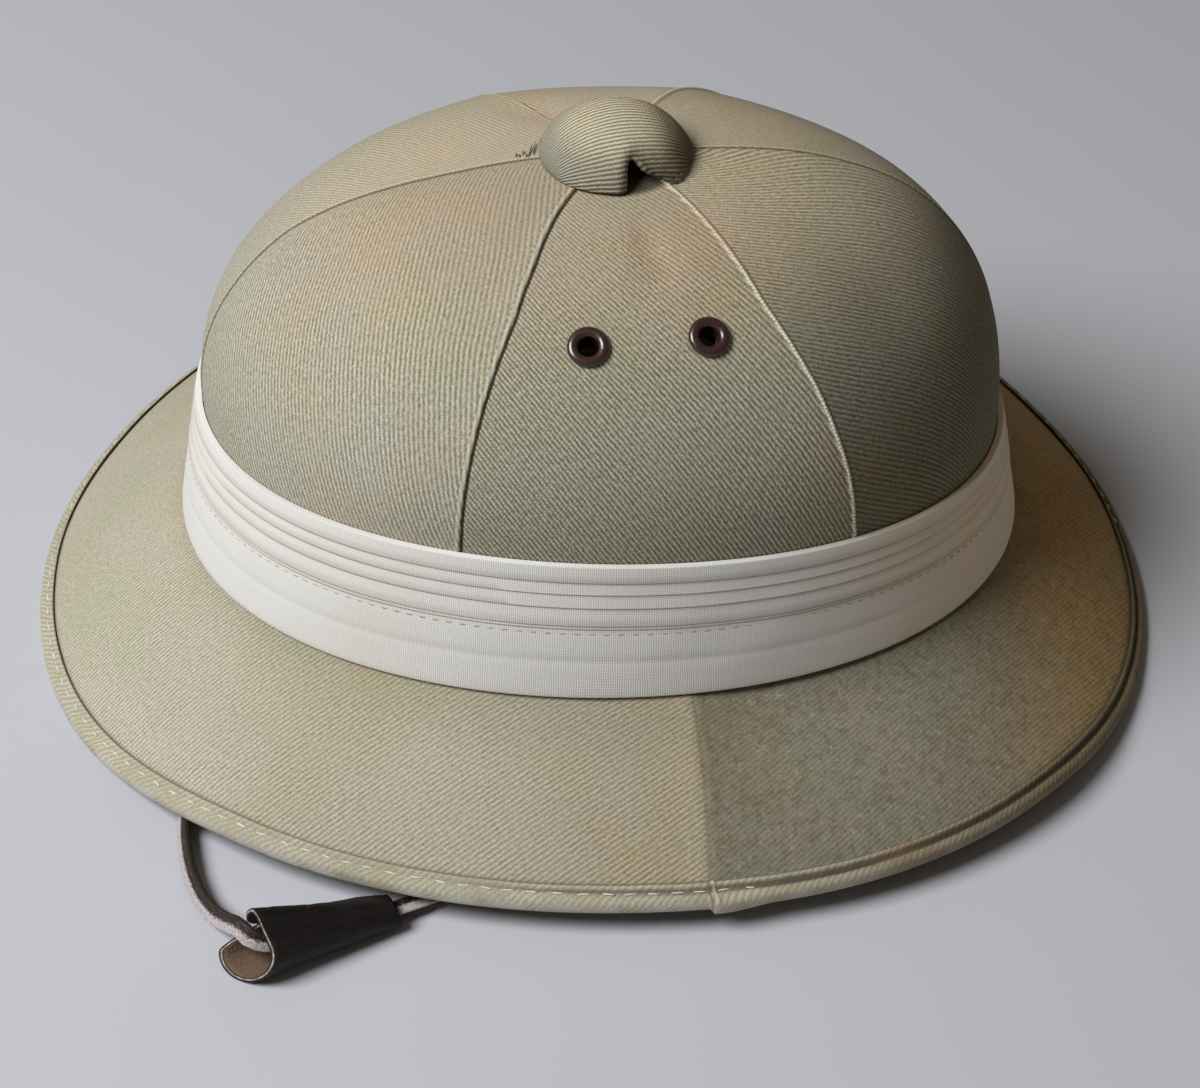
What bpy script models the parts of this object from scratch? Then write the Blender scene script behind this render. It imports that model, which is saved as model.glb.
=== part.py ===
# Pith helmet, modelled in metres. X runs along the helmet with the front at -X, Y runs across it,
# and the brim's binding stands on z = 0. The side that faces -Y carries the two vent eyelets.
import bisect
import math

import bmesh
import bpy
from mathutils import Matrix, Vector

# ---- driving dimensions: metres, and degrees for angles ----
GAP = 0.0003  # between pieces that touch

# The brim's outline, from its widest place, which lies a little behind the middle.
BRIM_WIDEST_X = 0.0100
BRIM_FRONT = 0.1721
BRIM_BACK = 0.1521
BRIM_HALF_WIDTH = 0.1443
BRIM_SQUARENESS = 2.11
SIDE_ARCH = 0.0075  # the edge lifts this much over the ears
ARCH_START, ARCH_FULL = 0.04, 0.60  # squared cosine of the angle from the side
BRIM_THICKNESS = 0.0038  # measured upright
BRIM_EDGE_RISE = 0.0032  # top of the bare brim's edge above the binding's underside
BRIM_CROWN = 0.0020  # how far the brim's top swells above a straight slope
BRIM_EDGE_FLAT = 0.0022  # level underside at the bare brim's edge
BRIM_ROWS = 4  # strips from the crown to the edge

# The seat is the line where crown and brim meet. It is the outer foot of the puggaree.
SEAT_CENTRE_X = 0.0018
SEAT_HALF_LENGTH = 0.1200
SEAT_HALF_WIDTH = 0.0996
SEAT_HEIGHT = 0.0345  # at the front and the back
SEAT_ARCH = 0.0074  # the sides sit this much higher
SEAT_TILT = -0.0017  # the back sits lower than the front by twice this

# The puggaree, and the crown's upright wall behind it.
PUGGAREE_HEIGHT = 0.0357
PUGGAREE_ARCH = 0.0031
PUGGAREE_TILT = -0.0033
PUGGAREE_LEAN = 0.0068  # how far its top edge leans in
PUGGAREE_FOOT = 0.0025  # its thickness at the foot, with the gap behind it
PUGGAREE_HEAD = 0.0015  # and at the head
PUGGAREE_LIFT = 0.0006  # its foot stands this far above the brim

# The crown's dome, above the puggaree.
CROWN_TOP = 0.1462
CROWN_WALL = 0.0060
CROWN_SKIRT = 0.0060  # the wall goes this far below the seat, inside the brim
PEAK_SHIFT = 0.0020  # the peak lies behind the seat's centre
RISE_ALONG, RISE_ACROSS = 2.29, 2.00
FULLNESS_FRONT, FULLNESS_BACK, FULLNESS_ACROSS = 2.28, 2.68, 2.16
SEAM_RIDGE = 0.0006  # seams stand out, and the panels between them lie a little flat

# Each panel seam: name, angle at the foot, angle near the peak, and the stations in the panel after it.
# Angles go round from the side that faces -Y, towards the back.
SEAMS = (
    ("front", -86.0, -88.0, 13),
    ("near_front", -23.2, -25.0, 10),
    ("near_back", 31.0, 24.0, 13),
    ("back", 93.0, 98.0, 11),
    ("far_back", 149.0, 156.0, 11),
    ("far_front", 203.2, 205.0, 14),
)

# Soft dents in the cloth: name, angle, height share, spread in degrees, spread in height, depth.
DENTS = (
    ("front_shoulder", -70.0, 0.53, 11.0, 0.12, 0.0018),
    ("back_shoulder", 53.0, 0.52, 12.0, 0.13, 0.0016),
    ("under_button", 6.6, 0.74, 5.0, 0.07, 0.0008),
)

# The puggaree's folds, from its head down: name, share of the height, thickness added outside.
FOLDS = (
    ("head", 0.000, 0.0000),
    ("pleat_1_foot", 0.115, 0.0006),
    ("pleat_2_head", 0.125, 0.0001),
    ("pleat_2_foot", 0.205, 0.0006),
    ("pleat_3_head", 0.215, 0.0002),
    ("pleat_3_foot", 0.305, 0.0007),
    ("pleat_4_head", 0.315, 0.0003),
    ("pleat_4_foot", 0.460, 0.0008),
    ("plain_head", 0.475, 0.0003),
    ("crease", 0.710, 0.0001),
    ("foot", 1.000, 0.0002),
)

# The brim's binding.
BINDING_CLOTH = 0.0010
BINDING_TOP_REACH = 0.0042  # from the outer edge, inwards over the top
BINDING_UNDER_REACH = 0.0085
BINDING_FOOT = 0.0038  # its flat underside

# The ventilator button on the peak.
BUTTON_RADIUS = 0.0202
BUTTON_HEIGHT = 0.0122
BUTTON_WALL = 0.0024
BUTTON_LIFT = -0.0004  # of its rim above the peak: the rim stands on the dome's shoulder
BUTTON_RINGS, BUTTON_SIDES = 7, 36
NOTCH_ANGLE = 15.0
NOTCH_WIDTH = 0.0100
NOTCH_HEIGHT = 0.0080

# The eyelets: name, angle, height share.
EYELETS = (
    ("eyelet_front", -7.9, 0.523),
    ("eyelet_back", 13.0, 0.534),
)
EYELET_OUTER_RADIUS = 0.0054
EYELET_BARREL_RADIUS = 0.0034
EYELET_HOLE_RADIUS = 0.0026
EYELET_FLANGE = 0.0013
EYELET_HOLE_CLEARANCE = 0.0004
EYELET_SEAT = 0.0004  # the flange's underside stands this far off the cloth
EYELET_TAIL = 0.0006  # its barrel comes out this far inside the crown
EYELET_EDGE = 0.0003  # the flange's underside is rounded by this
EYELET_SIDES = 18

# The chin strap: width and thickness of the leather.
STRAP_WIDTH = 0.0050
STRAP_THICKNESS = 0.0019
STRAP_STEP = 0.0065  # length of one piece of its strip
STRAP_FINENESS = 20  # samples between two rows of its route
# Its route, from the wall at the near side, through the sleeve, out in front of the brim, and the plain
# way back under the helmet to the wall at the far side. Columns: x, y, height of its lower edge,
# heading in degrees, and lean of its width from level. It stands on its edge where it shows.
STRAP_ROUTE = (
    (0.0020, -0.0871, 0.0530, -90, 0),
    (0.0020, -0.0885, 0.0440, -90, 0),
    (0.0012, -0.0897, 0.0350, -92, 0),
    (-0.0020, -0.0930, 0.0240, -100, 0),
    (-0.0090, -0.0990, 0.0120, -112, 0),
    (-0.0200, -0.1075, 0.0040, -124, 0),
    (-0.0340, -0.1175, 0.0014, -136, 0),
    (-0.0490, -0.1275, 0.0014, -148, 0),
    (-0.0630, -0.1346, 0.0027, -157, 2),
    (-0.0750, -0.1397, 0.0036, -157, 6),
    (-0.0860, -0.1443, 0.0042, -158, 25),
    (-0.0940, -0.1470, 0.0050, -166, 50),
    (-0.0993, -0.1472, 0.0070, -190, 58),
    (-0.1024, -0.1442, 0.0080, -222, 60),
    (-0.1056, -0.1396, 0.0052, -237, 60),
    (-0.1092, -0.1334, 0.0016, -240, 60),
    (-0.1126, -0.1268, 0.0003, -245, 60),
    (-0.1153, -0.1196, 0.0003, -252, 60),
    (-0.1173, -0.1095, 0.0003, -262, 60),
    (-0.1180, -0.0985, 0.0003, -270, 60),
    (-0.1168, -0.0850, 0.0003, -278, 44),
    (-0.1120, -0.0690, 0.0003, -288, 18),
    (-0.1040, -0.0520, 0.0003, -298, 4),
    (-0.0930, -0.0340, 0.0003, -303, 0),
    (-0.0800, -0.0150, 0.0003, -306, 0),
    (-0.0655, 0.0040, 0.0003, -308, 0),
    (-0.0500, 0.0230, 0.0003, -308, 0),
    (-0.0340, 0.0415, 0.0005, -304, 0),
    (-0.0190, 0.0580, 0.0030, -296, 0),
    (-0.0070, 0.0720, 0.0095, -286, 0),
    (0.0000, 0.0820, 0.0200, -276, 0),
    (0.0020, 0.0880, 0.0320, -270, 0),
    (0.0020, 0.0885, 0.0440, -270, 0),
    (0.0020, 0.0871, 0.0530, -270, 0),
)

# The rolled sleeve on the strap: the middle of its tail and of its mouth, over the surface.
SLEEVE_TAIL = (-0.0632, -0.1348)
SLEEVE_MOUTH = (-0.1005, -0.1505)
SLEEVE_LIFT = 0.0003
SLEEVE_WALL = 0.0013
# Its sections. Columns: share of its length, half width, half height, and the height of its flap.
SLEEVE_SECTIONS = (
    (0.00, 0.0051, 0.0034, 0.0000),
    (0.18, 0.0055, 0.0046, 0.0004),
    (0.42, 0.0060, 0.0056, 0.0016),
    (0.72, 0.0066, 0.0064, 0.0042),
    (1.00, 0.0073, 0.0070, 0.0074),
)
SLEEVE_SIDES = 18
FLAP_ANGLE, FLAP_SPREAD = 80.0, 24.0  # where the flap stands on its top
SLANT_ACROSS, SLANT_UP = 0.55, -0.55  # the mouth's slanting cut
# The mouth's rim is cut back where the strap comes out: angle, half spread and depth.
NICK_ANGLE, NICK_SPREAD, NICK_DEPTH = 22.0, 46.0, 0.0100

TWILL = (0.55, 0.49, 0.35, 1.0)
CREAM = (0.86, 0.82, 0.71, 1.0)
BINDING_TWILL = (0.58, 0.52, 0.38, 1.0)
BROWN_METAL = (0.10, 0.05, 0.04, 1.0)
BROWN_LEATHER = (0.16, 0.09, 0.06, 1.0)


# ---- scene and materials ----
def clear_scene():
    for obj in list(bpy.data.objects):
        bpy.data.objects.remove(obj, do_unlink=True)


def new_collection(name, hidden=False):
    collection = bpy.data.collections.new(name)
    collection.hide_render = hidden
    bpy.context.scene.collection.children.link(collection)
    return collection


def material(name, colour, roughness, metallic=0.0):
    made = bpy.data.materials.new(name)
    made.use_nodes = True
    shader = made.node_tree.nodes["Principled BSDF"]
    shader.inputs["Base Color"].default_value = colour
    shader.inputs["Roughness"].default_value = roughness
    shader.inputs["Metallic"].default_value = metallic
    return made


def add_object(name, bm, collection, finish=None):
    bmesh.ops.recalc_face_normals(bm, faces=bm.faces)
    mesh = bpy.data.meshes.new(name)
    bm.to_mesh(mesh)
    bm.free()
    mesh.shade_smooth()
    if finish:
        mesh.materials.append(finish)
    obj = bpy.data.objects.new(name, mesh)
    collection.objects.link(obj)
    return obj


# ---- outlines shared by the pieces ----
def signed_power(value, exponent):
    return math.copysign(abs(value) ** exponent, value)


def blend(a, b, share):
    return a + (b - a) * share


def stations(rise=0.0):
    """Angles of the sections round the helmet. They follow the seams, which turn a little as they rise."""
    feet = [blend(foot, head, rise) for _, foot, head, _ in SEAMS]
    feet.append(feet[0] + 360.0)
    angles = []
    for place, (_, _, _, count) in enumerate(SEAMS):
        for step in range(count):
            share = step / count
            angles.append((math.radians(blend(feet[place], feet[place + 1], share)), share))
    return angles


def ring_point(angle, half_length, half_width, squareness=2.0):
    along = signed_power(math.sin(angle), 2.0 / squareness) * half_length
    across = -signed_power(math.cos(angle), 2.0 / squareness) * half_width
    return Vector((along, across, 0.0))


def seat_height(angle):
    return SEAT_HEIGHT + SEAT_ARCH * math.cos(angle) ** 2 + SEAT_TILT * math.sin(angle)


def puggaree_height(angle):
    return PUGGAREE_HEIGHT + PUGGAREE_ARCH * math.cos(angle) ** 2 + PUGGAREE_TILT * math.sin(angle)


def edge_height(angle):
    share = (math.cos(angle) ** 2 - ARCH_START) / (ARCH_FULL - ARCH_START)
    share = min(max(share, 0.0), 1.0)
    return SIDE_ARCH * share * share * (3.0 - 2.0 * share)


def edge_point(angle):
    half_length = BRIM_FRONT if math.sin(angle) < 0 else BRIM_BACK
    point = ring_point(angle, half_length, BRIM_HALF_WIDTH, BRIM_SQUARENESS)
    return point + Vector((BRIM_WIDEST_X, 0.0, edge_height(angle)))


def wall_point(angle, share, outwards=0.0):
    """On the crown's upright wall, at a share of the puggaree's height above the seat."""
    inset = blend(PUGGAREE_FOOT, PUGGAREE_LEAN + PUGGAREE_HEAD, share) - outwards
    point = ring_point(angle, SEAT_HALF_LENGTH - inset, SEAT_HALF_WIDTH - inset)
    return point + Vector((SEAT_CENTRE_X, 0.0, seat_height(angle) + share * puggaree_height(angle)))


def dome_point(angle, share):
    """On the smooth dome. share goes from 0 at the puggaree's head to 1 at the peak."""
    rise = math.sin(share * math.pi / 2.0)
    inset = PUGGAREE_LEAN + PUGGAREE_HEAD
    fullness = FULLNESS_FRONT if math.sin(angle) < 0 else FULLNESS_BACK
    along = max(1.0 - rise**RISE_ALONG, 0.0) ** (1.0 / fullness)
    across = max(1.0 - rise**RISE_ACROSS, 0.0) ** (1.0 / FULLNESS_ACROSS)
    point = ring_point(angle, SEAT_HALF_LENGTH - inset, SEAT_HALF_WIDTH - inset)
    foot = seat_height(angle) + puggaree_height(angle)
    return Vector(
        (
            point.x * along + SEAT_CENTRE_X + PEAK_SHIFT * rise * rise,
            point.y * across,
            blend(foot, CROWN_TOP, rise),
        )
    )


def dome_normal(angle, share):
    step = 0.01
    share = min(share, 0.97)
    round_way = dome_point(angle + step, share) - dome_point(angle - step, share)
    up_way = dome_point(angle, share + step) - dome_point(angle, share - step)
    return round_way.cross(up_way).normalized()


def panel_relief(angle, share, panel_share):
    """How far the cloth stands off the smooth dome: out at the seams, in at the dents."""
    rise = math.sin(share * math.pi / 2.0)
    envelope = 4.0 * rise * (1.0 - rise)
    relief = SEAM_RIDGE * envelope * (1.0 - 2.0 * math.sin(math.pi * panel_share))
    for _, turn, height, turn_spread, height_spread, depth in DENTS:
        away = math.degrees(angle) - turn
        fall = (away / turn_spread) ** 2 + ((share - height) / height_spread) ** 2
        relief -= depth * math.exp(-fall)
    return relief


# ---- building helpers ----
def loft(bm, loops, closed_loop=True, closed_way=False):
    """Faces between the loops of points, which all have the same number of points."""
    rings = [[bm.verts.new(point) for point in points] for points in loops]
    count = len(rings[0])
    ways = len(rings) if closed_way else len(rings) - 1
    sides = count if closed_loop else count - 1
    for way in range(ways):
        this, after = rings[way], rings[(way + 1) % len(rings)]
        for side in range(sides):
            beyond = (side + 1) % count
            bm.faces.new((this[side], this[beyond], after[beyond], after[side]))
    return rings


def cut_with(obj, cutter):
    cut = obj.modifiers.new("cut_" + cutter.name, "BOOLEAN")
    cut.operation = "DIFFERENCE"
    cut.solver = "EXACT"
    cut.object = cutter
    cutter.hide_render = True
    cutter.display_type = "WIRE"


def turned(name, profile, steps, collection, finish, closed=True):
    """A profile of (radius, height) points, turned about Z."""
    bm = bmesh.new()
    verts = [bm.verts.new((radius, 0.0, height)) for radius, height in profile]
    for place, vert in enumerate(verts if closed else verts[:-1]):
        bm.edges.new((vert, verts[(place + 1) % len(verts)]))
    mesh = bpy.data.meshes.new(name)
    bm.to_mesh(mesh)
    bm.free()
    mesh.materials.append(finish)
    obj = bpy.data.objects.new(name, mesh)
    collection.objects.link(obj)
    screw = obj.modifiers.new("turn", "SCREW")
    screw.axis = "Z"
    screw.steps = steps
    screw.render_steps = steps
    screw.use_merge_vertices = True
    screw.merge_threshold = 0.00001
    screw.use_smooth_shade = True
    return obj


# ---- the pieces ----
def make_crown(collection, cutters, finish):
    wall_rows = (-1.0, 0.0, 1.0)
    dome_rows = (0.10, 0.20, 0.30, 0.40, 0.50, 0.60, 0.70, 0.80, 0.90)
    loops = []
    for row in wall_rows:
        if row < 0:
            drop = Vector((0.0, 0.0, -CROWN_SKIRT))
            loops.append([wall_point(angle, 0.0) + drop for angle, _ in stations()])
        else:
            loops.append([wall_point(angle, row) for angle, _ in stations()])
    for row in dome_rows:
        loop = []
        for angle, panel_share in stations(row):
            relief = panel_relief(angle, row, panel_share)
            loop.append(dome_point(angle, row) + dome_normal(angle, row) * relief)
        loops.append(loop)
    bm = bmesh.new()
    rings = loft(bm, loops)
    peak = bm.verts.new(dome_point(0.0, 1.0))
    last = rings[-1]
    for side, vert in enumerate(last):
        bm.faces.new((vert, last[(side + 1) % len(last)], peak))
    crown = add_object("crown", bm, collection, finish)
    wall = crown.modifiers.new("wall", "SOLIDIFY")
    wall.thickness = CROWN_WALL
    wall.offset = -1.0
    wall.use_even_offset = True
    for name, angle, share in EYELETS:
        bore = bmesh.new()
        bmesh.ops.create_cone(
            bore,
            cap_ends=True,
            segments=16,
            radius1=EYELET_BARREL_RADIUS + EYELET_HOLE_CLEARANCE,
            radius2=EYELET_BARREL_RADIUS + EYELET_HOLE_CLEARANCE,
            depth=CROWN_WALL * 4.0,
        )
        cutter = add_object(name + "_bore", bore, cutters)
        cutter.matrix_world = eyelet_place(angle, share)
        cut_with(crown, cutter)
    return crown


def brim_section(angle):
    """The brim's section at an angle: its foot on the crown, its edge, and the width between them."""
    foot = wall_point(angle, 0.0, GAP)
    edge = edge_point(angle)
    run = Vector((edge.x - foot.x, edge.y - foot.y, 0.0))
    return foot, edge, run.normalized(), run.length


def brim_top(foot, edge, width, reach):
    """Height of the brim's top at a distance from the crown."""
    edge_top = edge.z + BRIM_EDGE_RISE
    share = reach / (width - BINDING_CLOTH - GAP)
    swell = BRIM_CROWN * 4.0 * share * (1.0 - share)
    return blend(foot.z, edge_top, share) + swell


def stand_section(foot, outwards, section):
    """The section's (distance from the crown, height) points, stood upright on the outward line."""
    points = []
    for reach, height in section:
        spot = foot + outwards * reach
        points.append(Vector((spot.x, spot.y, height)))
    return points


def make_brim(collection, finish):
    loops = []
    for angle, _ in stations():
        foot, edge, outwards, width = brim_section(angle)
        outer = width - BINDING_CLOTH - GAP
        under = edge.z + BINDING_CLOTH + GAP
        reaches = [outer * row / BRIM_ROWS for row in range(BRIM_ROWS + 1)]
        section = [(reach, brim_top(foot, edge, width, reach)) for reach in reaches]
        section += [(outer, under), (outer - BRIM_EDGE_FLAT, under)]
        for reach in reaches[-2::-1]:
            section.append((reach, brim_top(foot, edge, width, reach) - BRIM_THICKNESS))
        loops.append(stand_section(foot, outwards, section))
    bm = bmesh.new()
    loft(bm, loops, closed_way=True)
    return add_object("brim", bm, collection, finish)


def make_binding(collection, finish):
    loops = []
    for angle, _ in stations():
        foot, edge, outwards, width = brim_section(angle)
        top_end = width - BINDING_TOP_REACH
        under_end = width - BINDING_UNDER_REACH
        inner = width - BINDING_CLOTH
        flat_end = width - BINDING_FOOT
        inside = edge.z + BINDING_CLOTH
        edge_top = edge.z + BRIM_EDGE_RISE
        top = brim_top(foot, edge, width, top_end)
        underside = brim_top(foot, edge, width, under_end) - BRIM_THICKNESS
        section = [
            (top_end, top + GAP),
            (top_end, top + GAP + BINDING_CLOTH),
            (inner, edge_top + GAP + BINDING_CLOTH * 0.9),
            (width, edge_top - BINDING_CLOTH * 0.4),
            (width, edge.z + BINDING_CLOTH * 0.6),
            (width - BINDING_CLOTH * 0.6, edge.z),
            (flat_end, edge.z),
            (under_end, underside - GAP - BINDING_CLOTH),
            (under_end, underside - GAP),
            (flat_end, inside),
            (inner, inside),
            (inner, edge_top + GAP),
        ]
        loops.append(stand_section(foot, outwards, section))
    bm = bmesh.new()
    loft(bm, loops, closed_way=True)
    return add_object("brim_binding", bm, collection, finish)


def make_puggaree(collection, finish):
    loops = []
    for angle, _ in stations():
        loop = []
        for _, share, extra in FOLDS:
            height_share = 1.0 - share
            cloth = blend(PUGGAREE_FOOT, PUGGAREE_HEAD, height_share)
            loop.append(wall_point(angle, height_share, cloth + extra))
        lift = Vector((0.0, 0.0, PUGGAREE_LIFT))
        loop[-1] = loop[-1] + lift
        loop.append(wall_point(angle, 0.0, GAP) + lift)
        loop.append(wall_point(angle, 1.0, GAP))
        loops.append(loop)
    bm = bmesh.new()
    loft(bm, loops, closed_way=True)
    return add_object("puggaree", bm, collection, finish)


def make_button(collection, cutters, finish):
    outer, inner = [], []
    for step in range(BUTTON_RINGS + 1):
        turn = math.radians(90.0 * step / BUTTON_RINGS)
        across, up = math.sin(turn), math.cos(turn)
        outer.append((BUTTON_RADIUS * across, BUTTON_HEIGHT * up))
        inner.append(((BUTTON_RADIUS - BUTTON_WALL) * across, (BUTTON_HEIGHT - BUTTON_WALL) * up))
    profile = outer + inner[::-1]
    button = turned("top_button", profile, BUTTON_SIDES, collection, finish, closed=False)
    button.location = (SEAT_CENTRE_X + PEAK_SHIFT, 0.0, CROWN_TOP + BUTTON_LIFT)
    arch = bmesh.new()
    bmesh.ops.create_cone(
        arch, cap_ends=True, segments=20, radius1=0.5, radius2=0.5, depth=BUTTON_RADIUS
    )
    turn = math.radians(NOTCH_ANGLE)
    middle = Vector((math.sin(turn), -math.cos(turn), 0.0)) * BUTTON_RADIUS
    stretch = Matrix.Diagonal((NOTCH_HEIGHT * 2.0, NOTCH_WIDTH, 1.0, 1.0))
    lay_down = Matrix.Rotation(math.radians(-90.0), 4, "Y")
    towards = Matrix.Rotation(turn - math.radians(90.0), 4, "Z")
    bmesh.ops.transform(arch, matrix=towards @ lay_down @ stretch, verts=arch.verts)
    bmesh.ops.translate(arch, vec=middle + Vector(button.location), verts=arch.verts)
    cutter = add_object("button_notch", arch, cutters)
    cut_with(button, cutter)
    return button


def eyelet_place(angle, share):
    turn = math.radians(angle)
    normal = dome_normal(turn, share)
    panel = (angle - SEAMS[1][1]) / (SEAMS[2][1] - SEAMS[1][1])
    spot = dome_point(turn, share) + normal * panel_relief(turn, share, panel)
    facing = normal.to_track_quat("Z", "Y").to_matrix().to_4x4()
    return Matrix.Translation(spot) @ facing


def make_eyelet(name, angle, share, collection, finish):
    deep = -CROWN_WALL - EYELET_TAIL
    seat = EYELET_SEAT
    lip = seat + EYELET_FLANGE
    middle = (EYELET_OUTER_RADIUS + EYELET_HOLE_RADIUS) / 2.0
    profile = [
        (EYELET_HOLE_RADIUS, deep),
        (EYELET_HOLE_RADIUS, lip * 0.55),
        (blend(EYELET_HOLE_RADIUS, middle, 0.45), lip * 0.92),
        (middle, lip),
        (blend(middle, EYELET_OUTER_RADIUS, 0.6), lip * 0.90),
        (EYELET_OUTER_RADIUS, seat + EYELET_FLANGE * 0.25),
        (EYELET_OUTER_RADIUS - EYELET_EDGE, seat),
        (EYELET_BARREL_RADIUS, seat),
        (EYELET_BARREL_RADIUS, deep),
    ]
    eyelet = turned(name, profile, EYELET_SIDES, collection, finish)
    eyelet.matrix_world = eyelet_place(angle, share)
    return eyelet


def smooth_row(rows, place):
    """A smooth curve through the rows, column by column, at a fractional row number."""
    index = min(int(place), len(rows) - 2)
    share = place - index
    before, start = rows[max(index - 1, 0)], rows[index]
    end, after = rows[index + 1], rows[min(index + 2, len(rows) - 1)]
    columns = []
    for a, b, c, d in zip(before, start, end, after):
        curve = 2 * b + (c - a) * share + (2 * a - 5 * b + 4 * c - d) * share**2
        columns.append((curve + (3 * b - a - 3 * c + d) * share**3) / 2.0)
    return columns


def strap_samples():
    """Centre, sideways direction and lean at close steps along the route."""
    samples = []
    steps = STRAP_FINENESS * (len(STRAP_ROUTE) - 1)
    for step in range(steps + 1):
        x, y, height, heading, lean = smooth_row(STRAP_ROUTE, step / STRAP_FINENESS)
        turn, tip = math.radians(heading), math.radians(max(lean, 0.0))
        half = (STRAP_WIDTH * math.sin(tip) + STRAP_THICKNESS * math.cos(tip)) / 2.0
        sideways = Vector((math.sin(turn), -math.cos(turn), 0.0))
        samples.append((Vector((x, y, height + half)), sideways, tip))
    return samples


def strap_frames():
    """Centre and width direction at equal steps of the strap's length."""
    samples = strap_samples()
    centres = [centre for centre, _, _ in samples]
    lengths = [0.0]
    for here, there in zip(centres, centres[1:]):
        lengths.append(lengths[-1] + (there - here).length)
    pieces = round(lengths[-1] / STRAP_STEP)
    frames = []
    for piece in range(pieces + 1):
        wanted = lengths[-1] * piece / pieces
        place = min(max(bisect.bisect_left(lengths, wanted), 1), len(samples) - 1)
        along = (centres[min(place + 1, len(samples) - 1)] - centres[place - 1]).normalized()
        _, sideways, tip = samples[place]
        level = (sideways - along * sideways.dot(along)).normalized()
        width = level * math.cos(tip) + level.cross(along) * math.sin(tip)
        share = (wanted - lengths[place - 1]) / (lengths[place] - lengths[place - 1])
        frames.append((centres[place - 1].lerp(centres[place], share), width))
    return frames


def make_strap(collection, finish):
    half = STRAP_WIDTH / 2.0
    strip = [(centre - width * half, centre + width * half) for centre, width in strap_frames()]
    bm = bmesh.new()
    loft(bm, strip, closed_loop=False)
    strap = add_object("chin_strap", bm, collection, finish)
    leather = strap.modifiers.new("leather", "SOLIDIFY")
    leather.thickness = STRAP_THICKNESS
    leather.offset = 0.0
    leather.use_even_offset = True
    return strap


def sleeve_section(share, half_width, half_height, flap, wall):
    """One rolled section, egg shaped with its flap on top, inset by the wall for its inner face."""
    tail, mouth = Vector((*SLEEVE_TAIL, 0.0)), Vector((*SLEEVE_MOUTH, 0.0))
    along = (mouth - tail).normalized()
    inwards = Vector((along.y, -along.x, 0.0))
    middle = SLEEVE_LIFT + half_height
    points = []
    for side in range(SLEEVE_SIDES):
        turn = math.tau * side / SLEEVE_SIDES
        away = math.degrees(turn) - NICK_ANGLE
        away = min(abs(away), 360.0 - abs(away)) / NICK_SPREAD
        nick = NICK_DEPTH * (0.5 + 0.5 * math.cos(math.pi * min(away, 1.0)))
        across = math.cos(turn) * (half_width - wall)
        lift = math.sin(turn) * (half_height - wall)
        peak = flap * math.exp(-(((math.degrees(turn) - FLAP_ANGLE) / FLAP_SPREAD) ** 2))
        slant = across * SLANT_ACROSS + lift * SLANT_UP - nick
        spot = tail.lerp(mouth, share) + inwards * across + along * (slant * share)
        points.append(spot + Vector((0.0, 0.0, middle + lift + peak)))
    return points


def make_sleeve(collection, finish):
    loops = [sleeve_section(*row, 0.0) for row in SLEEVE_SECTIONS]
    loops += [sleeve_section(*row, SLEEVE_WALL) for row in reversed(SLEEVE_SECTIONS)]
    bm = bmesh.new()
    loft(bm, loops, closed_way=True)
    return add_object("strap_sleeve", bm, collection, finish)


def main():
    clear_scene()
    helmet = new_collection("pith_helmet")
    cutters = new_collection("cutters", hidden=True)
    twill = material("khaki_twill", TWILL, 0.9)
    cream = material("cream_cotton", CREAM, 0.9)
    edging = material("edging_twill", BINDING_TWILL, 0.9)
    metal = material("brown_metal", BROWN_METAL, 0.35, 0.6)
    leather = material("brown_leather", BROWN_LEATHER, 0.5)
    make_crown(helmet, cutters, twill)
    make_brim(helmet, twill)
    make_binding(helmet, edging)
    make_puggaree(helmet, cream)
    make_button(helmet, cutters, twill)
    for name, angle, share in EYELETS:
        make_eyelet(name, angle, share, helmet, metal)
    make_strap(helmet, leather)
    make_sleeve(helmet, leather)


main()
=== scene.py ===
import bisect
import functools
import math
import operator

import bmesh
import bpy
from mathutils import Matrix, Vector, noise


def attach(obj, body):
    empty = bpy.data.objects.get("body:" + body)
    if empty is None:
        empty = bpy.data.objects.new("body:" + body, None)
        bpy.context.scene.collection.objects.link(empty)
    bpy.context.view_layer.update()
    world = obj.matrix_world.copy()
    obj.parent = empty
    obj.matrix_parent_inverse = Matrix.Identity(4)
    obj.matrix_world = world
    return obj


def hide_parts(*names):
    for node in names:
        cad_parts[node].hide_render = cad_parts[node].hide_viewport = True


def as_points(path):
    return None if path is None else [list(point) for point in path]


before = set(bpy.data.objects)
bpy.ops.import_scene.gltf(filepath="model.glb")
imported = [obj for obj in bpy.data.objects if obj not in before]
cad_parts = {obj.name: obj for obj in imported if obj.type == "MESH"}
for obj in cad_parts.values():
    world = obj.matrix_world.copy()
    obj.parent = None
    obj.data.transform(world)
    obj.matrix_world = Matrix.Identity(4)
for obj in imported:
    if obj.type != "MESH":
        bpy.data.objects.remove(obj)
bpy.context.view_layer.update()  # metres; X along the helmet with its front at -X, the side with the eyelets towards -Y
print("frame loaded:", len(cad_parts), "nodes")

pieces = bpy.data.collections.new("pithHelmet")
bpy.context.scene.collection.children.link(pieces)

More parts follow.
